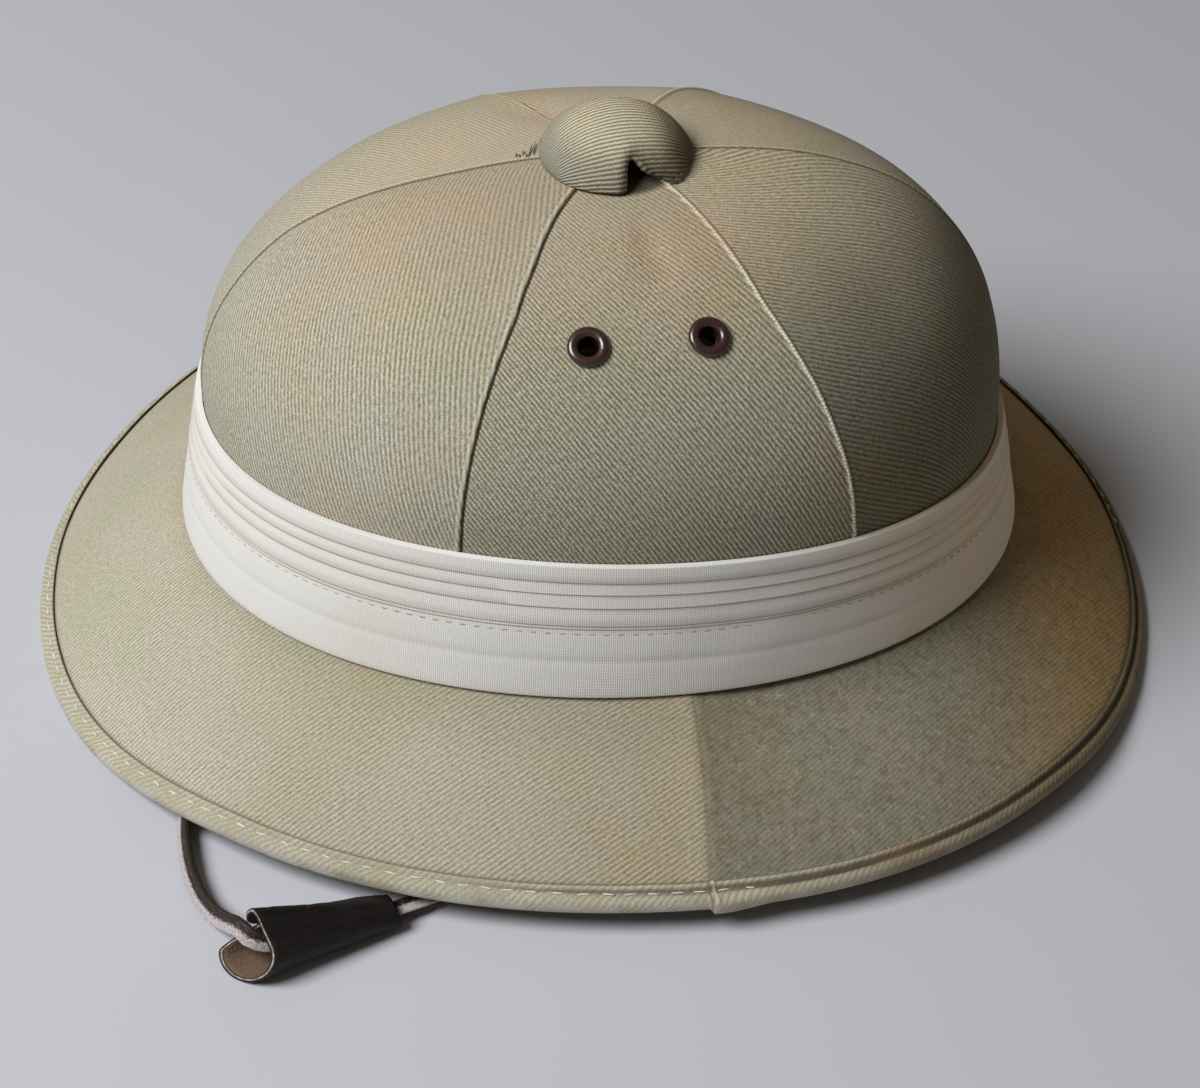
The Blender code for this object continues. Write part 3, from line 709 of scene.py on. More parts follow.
def brimMarks(finish):
    x, y, z = finish.apart(finish.coords)
    gap, way = finish.uvOf("seams")  # distance from the nearest side seam, and in from the edge
    # painted shade: the back piece is painted darker, most of all on the near side and along its seam, with a painted
    # highlight on the front piece beside the seam
    border = gap + (finish.grain(140.0) - 0.5) * 0.0022
    back = border.step(0.0022, -0.0030) * (1.0 - y.step(-0.02, 0.07) * 0.45)
    finish.tint(back * (1.0 - gap.step(-0.006, -0.050) * 0.22), (0.655, 0.660, 0.700))
    finish.tint(border.near(-0.0022, 0.0036) * 0.30, (0.72, 0.70, 0.66))
    finish.tint(border.near(0.0030, 0.0040) * 0.35, (1.14, 1.12, 1.08))
    # darker next to the band, a warmer tint overall, and painted light and shade from the front to the back: paler and
    # bluer at the front where the light falls, darker from the middle back, and paler and warmer at the far back where
    # light falls from above
    finish.tint(z.step(0.030, 0.040) * 0.6, (0.78, 0.78, 0.74))
    finish.tint(1.0, (1.03, 1.00, 0.95))
    finish.tint(x.step(-0.085, -0.140), (1.10, 1.10, 1.16))
    finish.tint(x.step(0.050, 0.115), (0.84, 0.83, 0.82))
    finish.tint(x.step(0.085, 0.140), (1.60, 1.24, 0.80))
    finish.tint(x.step(-0.06, 0.0) * 0.5, (0.84, 0.82, 0.78))
    speckled = finish.grain(430.0, 4.0, 0.75).step(0.46, 0.66)
    speckled = speckled + finish.grain(95.0, 3.0, 0.7).step(0.45, 0.70) * 0.35
    finish.tint(back * speckled, (0.74, 0.72, 0.66))
    light = finish.grain(520.0, 3.0, 0.8).step(0.54, 0.70)
    finish.paint(back * light * 0.24, twillLook["paleLine"])
    # painted shadow: a dark line on the brim where the binding's inner edge meets it
    finish.paint(way.near(0.0032, 0.0009) * 0.60, (0.13, 0.105, 0.065))  # beside the binding


def twillCloth(name, marks, stains):
    finish = Finish(name)
    look, pitch = twillLook, twillLook["pitch"]
    along, across = finish.uvOf("cloth")  # metres along and across the diagonal lines
    contrast, tone = finish.uvOf("tone")  # how clear the lines are, and how pale the cloth
    # the diagonal lines, their short floats, loose yarn and lint
    slow = finish.streaks(along * 30.0, across * 30.0, 1.0)
    fine = finish.streaks(along * 700.0, across * 260.0)
    rib = (across / pitch + (slow - 0.5) * 0.45 + (fine - 0.5) * 0.42).wave()
    floats = (along / (pitch * 0.70) + across / (pitch * 2.1)).wave()
    yarn = finish.streaks(along * 520.0, across * 1500.0, 3.0, 0.65) - 0.5
    broken = finish.streaks(along * 850.0, across * 1250.0, 2.0, 0.7)
    lint = finish.streaks(along * 110.0, across * 1700.0).step(0.74, 0.82)
    cloud, fuzz = finish.grain(75.0, 3.0, 0.6), finish.grain(1500.0, 3.0, 0.75)
    thread = rib * 0.52 + floats * rib * 0.34 + yarn * 0.90 + (broken - 0.5) * 1.30 + (fuzz - 0.5) * 0.90
    thread = (thread - 0.40) * contrast * (cloud * 0.9 + 0.55) + 0.50
    finish.paint(thread, look["paleLine"], over=look["darkLine"])
    # on the crown, tone holds the painted light and shade of each panel
    finish.tint(1.0, tone * (fuzz * 0.22 + 0.89))
    finish.tint(finish.grain(17.0, 3.0, 0.55).step(0.42, 0.66) * 0.55, look["olive"])
    finish.tint(finish.grain(24.0, 4.0, 0.6).step(0.50, 0.70) * 0.65, look["warm"])
    specks = finish.cells(620.0).step(0.16, 0.05) * finish.grain(90.0, 1.0).step(0.58, 0.72)
    finish.paint(specks * 0.5, look["grime"])
    finish.paint(lint * 0.3, look["lint"])
    marks(finish)
    stained(finish, stains)
    height = (rib * 0.8 + floats * rib * 0.25 + yarn * 0.5) * contrast + (fuzz - 0.5) * 0.3
    return finish.done(0.84 + fine * 0.12, height, 0.40, 0.00042, Specular_IOR_Level=0.2)


def shellPlain(name):
    # the hidden side of the crown and the button
    finish = Finish(name)
    weave = (finish.apart(finish.coords)[2] / 0.0012).wave() * 0.5 + finish.grain(900.0, 3.0) * 0.5
    finish.paint(finish.grain(30.0, 3.0), (0.40, 0.36, 0.28), over=(0.30, 0.265, 0.20))
    finish.paint(weave * 0.25, (0.24, 0.21, 0.15))
    return finish.done(0.92, weave, 0.25, 0.0003, Specular_IOR_Level=0.15)


# The crown: six twill panels over a hollow shell
crownCover = {
    "domeRows": 62,
    "wallRows": (-1.0, 0.0, 0.5),
    "plainColumns": 20,
    "besideSeam": (0.00022, 0.00055, 0.0010, 0.0015, 0.0024, 0.0045),
    "seamRidge": 0.0006,
    # seams: their angle at shares of the dome's height, and the side that laps over:
    # -1 before, 1 after, 0 for a ridge
    "seams": (
        (((0.0, -85.2), (0.34, -87.0), (0.42, -88.2), (0.5, -89.4), (0.6, -89.0), (0.8, -87.2), (1.0, -88.0)), -1),
        (((0.0, -23.3), (0.28, -22.7), (0.57, -22.2), (0.70, -23.5), (0.86, -27.4), (1.0, -29.0)), -1),
        (((0.0, 31.8), (0.18, 30.5), (0.39, 28.1), (0.59, 24.9), (0.83, 24.2), (1.0, 23.0)), 0),
        (((0.0, 91.0), (0.20, 92.6), (0.40, 94.8), (0.55, 96.0), (0.70, 97.0), (0.80, 98.0), (1.0, 99.0)), 1),
        (((0.0, 148.5), (0.40, 152.5), (0.66, 161.5), (0.80, 165.0), (1.0, 167.0)), 0),
        (((0.0, 203.2), (0.45, 202.3), (0.70, 203.0), (0.80, 204.0), (1.0, 207.0)), 1),
    ),
    # the twill's slope in each panel, at its foot and at the peak
    "slopes": ((113.0, 134.0), (-58.0, -45.5), (-26.0, -33.0), (38.0, 30.0), (-46.0, -54.0), (72.0, 64.0)),
    "bends": (0.0, 0.0, 22.0, 0.0, 0.0, 0.0),  # how fast the lines steepen towards the panel's far seam
    "bendStart": -0.030,  # from the panel's middle
    "looseness": (1.0, 1.0, 1.22, 1.1, 1.0, 1.0),  # of the twill's lines, from stretch on the bias
    # in each panel, at its foot and at the peak: how clear the twill is, and how pale the cloth is painted, partly the
    # cloth's own tone and partly painted light and shade, darkest low down on the shaded side
    "clearness": ((0.92, 0.54), (1.30, 0.62), (0.98, 0.86), (0.80, 0.42), (0.70, 0.34), (0.70, 0.36)),
    "palenessAndShade": ((0.97, 0.88), (0.88, 0.92), (0.50, 1.06), (0.72, 1.04), (0.92, 1.12), (1.00, 1.10)),
    "seamKinds": (2, 0, 1, 2, 1, 2),  # 0 lapped and topstitched, 1 corded, 2 plain
    "plainLap": 0.55,  # of the lapped seam's height
    "waves": (0.00030, 0.030),  # depth and size
    "stains": (
        ((0.0060, -0.0345, 0.1420), 0.0040, (1.02, 0.74, 0.62)),
        ((0.0108, -0.0440, 0.1390), 0.0036, (1.04, 0.72, 0.60)),
        ((0.0354, -0.0221, 0.1429), 0.0240, (1.08, 0.94, 0.88)),
        ((0.0200, -0.0340, 0.1416), 0.0130, (1.02, 0.90, 0.82)),
        ((-0.0006, -0.0383, 0.1410), 0.0080, (0.98, 1.02, 0.82)),
        ((0.0260, -0.0534, 0.1332), 0.0110, (0.94, 0.98, 0.76)),
        ((-0.0550, -0.0421, 0.1301), 0.0120, (1.00, 1.00, 0.78)),
        ((-0.0480, -0.0550, 0.1258), 0.0090, (0.99, 1.00, 0.80)),
        ((-0.0356, -0.0113, 0.1428), 0.0150, (1.06, 0.96, 0.92)),
        ((-0.0137, 0.0270, 0.1432), 0.0036, (1.16, 0.72, 0.62)),
        ((0.0476, 0.0184, 0.1416), 0.0200, (1.08, 0.93, 0.84)),
        ((-0.0007, -0.0634, 0.1291), 0.0100, (0.92, 0.99, 0.86)),
    ),
    # soft dents: angle, height share, spread in degrees, spread in height, depth
    "dents": (
        (-70.0, 0.53, 11.0, 0.12, 0.0018),
        (53.0, 0.52, 12.0, 0.13, 0.0016),
        (6.0, 0.73, 4.5, 0.075, 0.0009),
        (182.0, 0.84, 58.0, 0.13, 0.0013),
        (203.0, 0.80, 9.0, 0.10, 0.0010),
    ),
    # profiles over a seam: distance to height, lapping side plus
    "lapProfile": (
        (-0.0045, 0.0), (-0.0024, -0.00002), (-0.0010, -0.00006), (-0.00022, -0.00028), (0.0, -0.0001),
        (0.00022, 0.00040), (0.00055, 0.00052), (0.0010, 0.00044), (0.0013, 0.00026), (0.0017, 0.00040),
        (0.0030, 0.00018), (0.0060, 0.0),
    ),
    "ridgeProfile": (
        (-0.0015, 0.0), (-0.0010, -0.00008), (-0.00055, 0.00036), (0.0, 0.00055), (0.00055, 0.00036),
        (0.0010, -0.00008), (0.0015, 0.0),
    ),
}


def seamAngle(index, share):
    turns, place = divmod(index, len(crownCover["seams"]))
    return math.radians(alongTable(crownCover["seams"][place][0], share) + 360.0 * turns)


def panelRelief(angle, share, panelShare):
    rise = math.sin(share * math.pi / 2.0)
    relief = crownCover["seamRidge"] * 4.0 * rise * (1.0 - rise) * (1.0 - 2.0 * math.sin(math.pi * panelShare))
    for turn, height, turnSpread, heightSpread, depth in crownCover["dents"]:
        away = halfTurn(math.degrees(angle) - turn)
        relief -= depth * math.exp(-((away / turnSpread) ** 2) - ((share - height) / heightSpread) ** 2)
    return relief


def crownRow(share):
    # for each column of a row: its angle, panel share, place along the panel and the panel's width
    found = []
    beside, plain, fine = crownCover["besideSeam"], crownCover["plainColumns"], 24
    for panel in range(len(crownCover["seams"])):
        start, end = seamAngle(panel, share), seamAngle(panel + 1, share)
        angles = [mixed(start, end, step / fine) for step in range(fine + 1)]
        lengths = pathLengths([domePoint(angle, share) for angle in angles])
        width = max(lengths[-1], 0.000001)
        squeeze = min(1.0, width / (beside[-1] * 4.0))
        close = [distance * squeeze for distance in beside]
        last = close[-1]
        marks = [0.0] + close
        marks += [mixed(last, width - last, (step + 1) / (plain + 1)) for step in range(plain)]
        marks += [width - distance for distance in reversed(close)]
        for mark in marks:
            place = min(max(bisect.bisect_left(lengths, mark), 1), fine)
            span = max(lengths[place] - lengths[place - 1], 1e-9)
            angle = mixed(angles[place - 1], angles[place], (mark - lengths[place - 1]) / span)
            found.append((angle, mark / width, mark, width))
    return found


def makeCrown():
    form, cover = helmetForm, crownCover
    seams, kinds = cover["seams"], cover["seamKinds"]
    perPanel = 1 + 2 * len(cover["besideSeam"]) + cover["plainColumns"]
    columns = perPanel * len(seams)
    shares = [step / cover["domeRows"] for step in range(cover["domeRows"] + 1)]
    tables = [crownRow(share) for share in shares]
    wallRows = len(cover["wallRows"])

    def seamLift(index, mark, width, share):
        # the seams at both ends of the panel
        lift = 0.0
        for seam, distance in ((index, mark), (index + 1, mark - width)):
            laps, kind = seams[seam % len(seams)][1], kinds[seam % len(seams)]
            if laps:
                lift += alongTable(cover["lapProfile"], distance * laps) * (cover["plainLap"] if kind else 1.0)
            else:
                lift += alongTable(cover["ridgeProfile"], distance)
        return lift * (1.0 - eased(share, 0.90, 0.97))

    def place(row, column):
        if row < wallRows:
            height = cover["wallRows"][row]
            drop = Vector((0.0, 0.0, -form["crownSkirt"] if height < 0 else 0.0))
            return wallPoint(tables[0][column][0], max(height, 0.0)) + drop
        share = shares[row - wallRows]
        if share >= 1.0:
            return domePoint(0.0, 1.0)
        angle, panelShare, mark, width = tables[row - wallRows][column]
        spot = domePoint(angle, share)
        lift = panelRelief(angle, share, panelShare) * eased(share, 0.0, 0.08)
        lift += seamLift(column // perPanel, mark, width, share)
        depth, size = cover["waves"]
        lift += depth * wander(spot, size) * eased(share, 0.0, 0.15) * (1.0 - eased(share, 0.88, 1.0))
        return spot + domeNormal(angle, share) * lift

    # cloth coordinates: across each panel from its middle and up its middle, turned to the twill's slope
    middles = []
    for panel, slopes in enumerate(cover["slopes"]):
        up = climb = sway = 0.0
        rows = [(up, climb, sway)]
        for low, high in zip(shares, shares[1:]):
            start, end = (mixed(seamAngle(panel, s), seamAngle(panel + 1, s), 0.5) for s in (low, high))
            rise = (domePoint(end, high) - domePoint(start, low)).length
            slope = math.radians(mixed(*slopes, high))
            up, climb, sway = up + rise, climb + rise * math.cos(slope), sway + rise * math.sin(slope)
            rows.append((up, climb, sway))
        middles.append(rows)

    def panelSpot(row, column, start):
        # the panel, its row, the place along it and its width there
        panel, step = start // perPanel, max(row - wallRows, 0)
        if column >= (panel + 1) * perPanel:
            width = tables[step][column % columns - 1][3]
            return panel, step, width, width
        return panel, step, *tables[step][column % columns][2:]

    def clothUv(row, column, start):
        panel, step, mark, width = panelSpot(row, column, start)
        _, climb, sway = middles[panel][step]
        below = min(row - wallRows, 0) * 0.015
        across = mark - width / 2.0
        slope = math.radians(mixed(*cover["slopes"][panel], shares[step]))
        along = across * math.cos(slope) + sway + below * math.sin(slope)
        over = -across * math.sin(slope) + climb + below * math.cos(slope)
        over += cover["bends"][panel] * (1.0 - shares[step]) * max(across - cover["bendStart"], 0.0) ** 2 / 2.0
        return (along + panel * 0.7, over / cover["looseness"][panel])

    def seamUv(row, column, start):
        panel, step, mark, width = panelSpot(row, column, start)
        firstHalf = start - panel * perPanel < perPanel / 2.0
        seam = (panel if firstHalf else panel + 1) % len(seams)
        distance = mark if firstHalf else mark - width
        return (distance * (seams[seam][1] or 1), middles[panel][step][0] + 10.0 * kinds[seam])

    def toneUv(row, column, start):
        panel, up = start // perPanel, eased(shares[max(row - wallRows, 0)], 0.30, 0.90)
        return (mixed(*cover["clearness"][panel], up), mixed(*cover["palenessAndShade"][panel], up))

    uvMaps = {"cloth": clothUv, "seams": seamUv, "tone": toneUv}
    bm = spunSkin(wallRows + len(shares), columns, place, uvMaps, closedSection=False)
    cloth, within = twillCloth("crownTwill", crownMarks, cover["stains"]), shellPlain("crownWithin")
    crown = finishPiece("crownCover", bm, cloth, ("crown",), within=within)
    addWall(crown, form["crownWall"], even=True)
    return crown


ventEyelets = {
    "places": (("eyeletFront", "eyelet_front", -7.9, 0.523), ("eyeletBack", "eyelet_back", 13.0, 0.534)),
    "outerRadius": 0.0054,
    "barrelRadius": 0.0034,
    "holeRadius": 0.0026,
    "flange": 0.0013,
    "clearance": 0.0004,
    "seat": 0.0004,
    "tail": 0.0006,
    "bore": 0.024,  # length of the cut, well through the wall
    "steps": 56,
    "paint": ((0.030, 0.012, 0.010), (0.060, 0.024, 0.020)),
    "chips": (0.16, 0.09, 0.07),
}


def eyeletPlace(angle, share):
    turn = math.radians(angle)
    normal = domeNormal(turn, share)
    start, end = seamAngle(1, share), seamAngle(2, share)
    spot = domePoint(turn, share) + normal * panelRelief(turn, share, (turn - start) / (end - start))
    return Matrix.Translation(spot) @ normal.to_track_quat("Z", "Y").to_matrix().to_4x4()


def boreCrown(crown):
    cutters = []
    for name, _, angle, share in ventEyelets["places"]:
        radius, depth = ventEyelets["barrelRadius"] + ventEyelets["clearance"], ventEyelets["bore"]
        bm = bmesh.new()
        bmesh.ops.create_cone(bm, cap_ends=True, segments=40, radius1=radius, radius2=radius, depth=depth)
        bmesh.ops.transform(bm, matrix=eyeletPlace(angle, share), verts=bm.verts)
        cutter = meshObject(name + "Bore", bm)
        cut = crown.modifiers.new("bore", "BOOLEAN")
        cut.operation, cut.solver, cut.object = "DIFFERENCE", "EXACT", cutter
        cutters.append(cutter)
    graph = bpy.context.evaluated_depsgraph_get()
    bored = bpy.data.meshes.new_from_object(crown.evaluated_get(graph), depsgraph=graph)
    crown.modifiers.clear()
    crown.data = bored
    for cutter in cutters:
        bpy.data.objects.remove(cutter, do_unlink=True)


crown = makeCrown()
boreCrown(crown)
print("crown made:", len(crown.data.polygons), "faces")


# The brim: a front and a back piece of twill, joined by a seam at each side
brimCover = {
    "topRows": 26,
    "underRows": 12,
    "plainColumns": 260,
    "seamFoot": 7.2,  # angle of the side seam at the crown, and how far it turns on its way to the edge
    "seamTurn": -4.7,
    "seamSpread": 26.0,
    "besideSeam": (0.0004, 0.0010, 0.0020, 0.0040),
    "dip": 0.0010,  # of the back piece beside the seam
    "rise": -0.00025,  # of the front piece beside it
    "slopes": (30.0, 36.0),  # of the twill, in the front and the back piece
    "clearness": (0.60, 0.30),
    "coneAngle": 33.0,
    "seamRadius": 0.120,  # turns an angle beside a seam into metres
    "waves": ((0.00055, 0.045, 2.0), (0.0002, 0.014, 0.0)),  # depth, size and seed
    "stains": (
        ((-0.0178, -0.1148, 0.0300), 0.0075, (0.92, 1.00, 0.80)),
        ((-0.0089, -0.1273, 0.0230), 0.0065, (1.08, 0.93, 0.86)),
        ((-0.0028, -0.1347, 0.0185), 0.0040, (1.12, 0.90, 0.74)),
        ((0.1215, -0.0100, 0.0324), 0.0085, (0.72, 0.58, 0.46)),
        ((0.1320, -0.0300, 0.0240), 0.0330, (1.18, 0.98, 0.78)),
        ((0.1400, 0.0150, 0.0200), 0.0330, (1.20, 1.00, 0.80)),
    ),
}


def brimSection(angle):
    foot = wallPoint(angle, 0.0, helmetForm["gap"])
    edge = edgePoint(angle)
    run = Vector((edge.x - foot.x, edge.y - foot.y, 0.0))
    return foot, edge, run.normalized(), run.length


def brimTop(foot, edge, width, reach):
    form = helmetForm
    share = reach / (width - form["clothOnEdge"] - form["gap"])
    swell = form["brimCrown"] * 4.0 * share * (1.0 - share)
    return mixed(foot.z, edge.z + form["brimEdgeRise"], share) + swell


def brimAngles():
    # even columns round the brim, with closer ones beside the two seams
    beside = [math.degrees(distance / brimCover["seamRadius"]) for distance in brimCover["besideSeam"]]
    seams = (brimCover["seamFoot"], 180.0 - brimCover["seamFoot"])
    close = [seam + away for seam in seams for away in [0.0] + beside + [-away for away in beside]]
    step = 360.0 / brimCover["plainColumns"]
    free = [index * step for index in range(brimCover["plainColumns"])]
    free = [angle for angle in free if min(abs(angle - seam) for seam in seams) > beside[-1] + step * 0.4]
    return [math.radians(angle) for angle in sorted(free + close)]


def seamTurnAt(angle, share):
    # the side seams swing forwards on their way to the edge
    foot, spread = brimCover["seamFoot"], brimCover["seamSpread"]
    degrees = math.degrees(angle) % 360.0
    near = hump(halfTurn(degrees - foot), 0.0, spread)
    far = hump(halfTurn(degrees - 180.0 + foot), 0.0, spread)
    return angle + math.radians(brimCover["seamTurn"]) * (near - far) * share


def brimDepth(angle):
    # the back piece dips beside the seams, and comes back up slowly
    degrees = math.degrees(angle) % 360.0
    seam = brimCover["seamFoot"]
    if seam < degrees < 180.0 - seam:
        inside = min(degrees - seam, 180.0 - seam - degrees)
        return brimCover["dip"] * eased(inside, -0.4, 7.0) * (1.0 - eased(inside, 7.0, 42.0))
    outside = min((seam - degrees) % 360.0, (degrees - 180.0 + seam) % 360.0)
    return brimCover["rise"] * (1.0 - eased(outside, 0.0, 5.0))


def makeBrim():
    form, cover = helmetForm, brimCover
    angles = brimAngles()
    columns, seam = len(angles), cover["seamFoot"]
    top, under = cover["topRows"], cover["underRows"]
    rows = top + 1 + 2 + under

    def sectionPoint(row, column):
        # row 0 is the top at the crown; the section then goes out, down the edge and back underneath
        share = row / top if row <= top else (1.0 if row == top + 1 else max(1.0 - (row - top - 2) / under, 0.0))
        foot, edge, outwards, width = brimSection(seamTurnAt(angles[column], share))
        outer = width - form["clothOnEdge"] - form["gap"]
        below = edge.z + form["clothOnEdge"] + form["gap"]
        if row == top + 1:
            return foot + outwards * outer, below
        if row == top + 2:
            return foot + outwards * (outer - form["brimEdgeFlat"]), below
        height = brimTop(foot, edge, width, outer * share)
        spot = foot + outwards * (outer * share)
        if row > top:
            return spot, height - form["brimThickness"]
        fade = eased(share, 0.0, 0.12) * (1.0 - eased(share, 0.86, 1.0))
        level = Vector((spot.x, spot.y, 0.0))
        waves = sum(depth * wander(level, size, seed) for depth, size, seed in cover["waves"])
        return spot, height + waves * fade - brimDepth(angles[column]) * (1.0 - eased(share, 0.93, 1.0))

    def place(row, column):
        spot, height = sectionPoint(row, column)
        return Vector((spot.x, spot.y, height))

    def isBack(start):
        return math.radians(seam) <= angles[start] < math.radians(180.0 - seam)

    def clothUv(row, column, start):
        # each piece of the brim is laid out flat, as a part of a cone
        cone, onBack = math.cos(math.radians(cover["coneAngle"])), isBack(start)
        spot, _ = sectionPoint(row % rows, column % columns)
        way = math.atan2(spot.x - form["brimWidestX"], -spot.y)
        if way < 0.0 and onBack:
            way += math.tau if start > columns / 4 else 0.0
        if not onBack and way > (0.3 if start > columns / 2 else math.radians(60.0)):
            way -= math.tau
        reach, way = math.hypot(spot.x - form["brimWidestX"], spot.y) / cone, way * cone
        east, up = reach * math.sin(way), -reach * math.cos(way)
        slope = math.radians(cover["slopes"][onBack])
        along = east * math.cos(slope) + up * math.sin(slope)
        return (along + (0.5 if onBack else 0.0), up * math.cos(slope) - east * math.sin(slope))

    def seamUv(row, column, start):
        turn = angles[column % columns]
        angle = math.degrees(turn)
        away = min(abs(halfTurn(angle - seam)), abs(halfTurn(angle - 180.0 + seam)))
        inner = seam < angle < 180.0 - seam
        width = brimSection(seamTurnAt(turn, min(row / top, 1.0)))[3]
        inwards = (width - form["clothOnEdge"] - form["gap"]) * max(1.0 - row / top, 0.0)
        return (math.radians(away) * cover["seamRadius"] * (-1.0 if inner else 1.0), inwards)

    def toneUv(row, column, start):
        return (cover["clearness"][isBack(start)], 1.0)

    bm = spunSkin(rows, columns, place, {"cloth": clothUv, "seams": seamUv, "tone": toneUv})
    cloth = twillCloth("brimTwill", brimMarks, cover["stains"])
    return finishPiece("brimCover", bm, cloth, ("brim",), crease=60.0)


brim = makeBrim()
print("brim made:", len(brim.data.polygons), "faces")


# The binding sewn over the brim's edge
edgeBinding = {
    "columns": 420,
    "underReach": 0.0085,
    "foot": 0.0038,
    # from the outer edge inwards: distance from it, and the height over the brim's top
    # where the stitches pull the cloth in, and where they don't
    "profile": (
        (0.00420, 0.00030, 0.00030), (0.00432, 0.00062, 0.00058), (0.00420, 0.00108, 0.00094),
        (0.00375, 0.00140, 0.00114), (0.00325, 0.00134, 0.00117), (0.00285, 0.00092, 0.00113),
        (0.00258, 0.00058, 0.00102), (0.00220, 0.00056, 0.00100), (0.00190, 0.00088, 0.00112),
        (0.00160, 0.00121, 0.00118), (0.00110, 0.00117, 0.00114), (0.00062, 0.00092, 0.00090),
        (0.00026, 0.00040, 0.00040), (0.00006, -0.00030, -0.00030),
    ),
    "pulledAngle": 50.0,  # the stitches pull most here
    "jointAngle": 2.9,  # the binding's end is folded and laps over here
    "jointHeight": 0.0005,
    "jointBulge": 0.0012,
    "besideJoint": (-0.6, -0.4, -0.28, -0.18, -0.1, -0.03, 0.05, 0.14, 0.24, 0.34, 0.46, 0.6, 0.8),
    "stitchPitch": 0.0063,
    "stitchSize": (0.0017, 0.00028, 0.00022),
    "stitchHeights": (0.00104, 0.00060),  # over the brim, where the cloth lies flat and where it is pulled in
    "grooveReach": 0.00246,
    "sunk": 0.86,  # pulled in harder than this, the stitches don't show
    "slack": ((0.00016, 0.009, 0.0), (0.00010, 0.0035, 3.0)),  # depth, size and seed
    "turnRadius": 0.155,  # turns an angle beside the joint into metres
    "ribPitch": 0.00122,
    "cloth": ((0.305, 0.278, 0.190), (0.510, 0.478, 0.365)),
    "thread": ((0.50, 0.48, 0.38), (0.80, 0.79, 0.71)),
}


def pulledBy(angle):
    # how hard the binding's stitches pull it in
    return 0.25 + 0.75 * eased(math.cos(angle - math.radians(edgeBinding["pulledAngle"])), 0.30, 0.92)


def bindingCloth():
    finish = Finish("bindingCloth")
    along, across = finish.uvOf("cloth")
    pulled, joint = finish.uvOf("tone")  # how hard it is pulled in, and metres from the folded end
    warp = finish.grain(150.0)
    fuzz = finish.grain(1150.0, 3.0, 0.7)
    rib = ((across * 0.80 + along * 0.60) / edgeBinding["ribPitch"] + (warp - 0.5) * 1.2).wave()
    floats = ((along * 0.80 - across * 0.60) / 0.0009 + across / 0.0025).wave()
    clear = finish.grain(55.0).step(0.25, 0.65)
    thread = rib * (clear * 0.30 + 0.12) + floats * rib * 0.15 + (fuzz - 0.5) * 0.75 + 0.24
    dark, pale = edgeBinding["cloth"]
    finish.paint(thread.step(0.05, 0.95), pale, over=dark)
    finish.tint(finish.grain(26.0, 3.0).step(0.62, 0.35) * 0.40, (0.86, 0.90, 0.80))
    finish.tint(finish.grain(34.0, 3.0).step(0.50, 0.68) * 0.55, (1.07, 0.95, 0.82))
    # painted shade: a groove under the stitches is painted dark, deeper and browner where they pull, and a painted
    # shadow line runs along the inner edge
    ragged = across + (finish.grain(300.0, 3.0) - 0.5) * 0.0006
    finish.paint(ragged.near(0.00190, 0.00120) * pulled.step(0.35, 1.0) * 0.92, (0.060, 0.040, 0.030))
    finish.paint(ragged.near(0.00135, 0.0006) * pulled.step(0.20, 0.45) * 0.70, (0.120, 0.098, 0.066))
    finish.paint(across.near(-0.0001, 0.00065) * 0.90, (0.075, 0.056, 0.032))
    # the outer edge is painted pale in patches: wear, and a painted highlight where the rounded edge catches the light
    wearAndHighlight = across.step(0.0037, 0.0043) * finish.grain(120.0, 3.0).step(0.30, 0.60)
    finish.paint(wearAndHighlight * 0.40, (0.60, 0.58, 0.57))
    rust = finish.grain(48.0, 3.0).step(0.54, 0.68) * pulled.step(0.6, 1.0)
    finish.paint(rust * 0.45, (0.26, 0.155, 0.075))
    # painted shade: darker towards the back; and a line and a pale fold at the joint
    finish.tint(finish.apart(finish.coords)[0].step(0.03, 0.12), (0.50, 0.44, 0.35))
    finish.paint(joint.near(-0.0006, 0.0006) * 0.75, (0.110, 0.085, 0.055))
    finish.paint(joint.near(0.00045, 0.0005) * 0.50, (0.62, 0.60, 0.50))
    height = rib * clear * 0.5 + floats * 0.15 + fuzz * 0.4
    return finish.done(0.88, height, 0.20, 0.0004, Specular_IOR_Level=0.2)


def edgeLine(count, closer=()):
    # evenly spaced angles along the brim's edge and the places along it, with closer ones where asked
    fine = 1440
    angles = [math.tau * step / fine for step in range(fine + 1)]
    lengths = pathLengths([edgePoint(angle) for angle in angles])
    byAngle, byLength = list(zip(angles, lengths)), list(zip(lengths, angles))
    even = [alongTable(byLength, lengths[-1] * step / count) for step in range(count)]
    if closer:
        even = [angle for angle in even if not closer[0] - 0.008 < angle < closer[-1] + 0.008]
    chosen = sorted(even + list(closer))
    return chosen, [alongTable(byAngle, angle) for angle in chosen], lengths[-1]


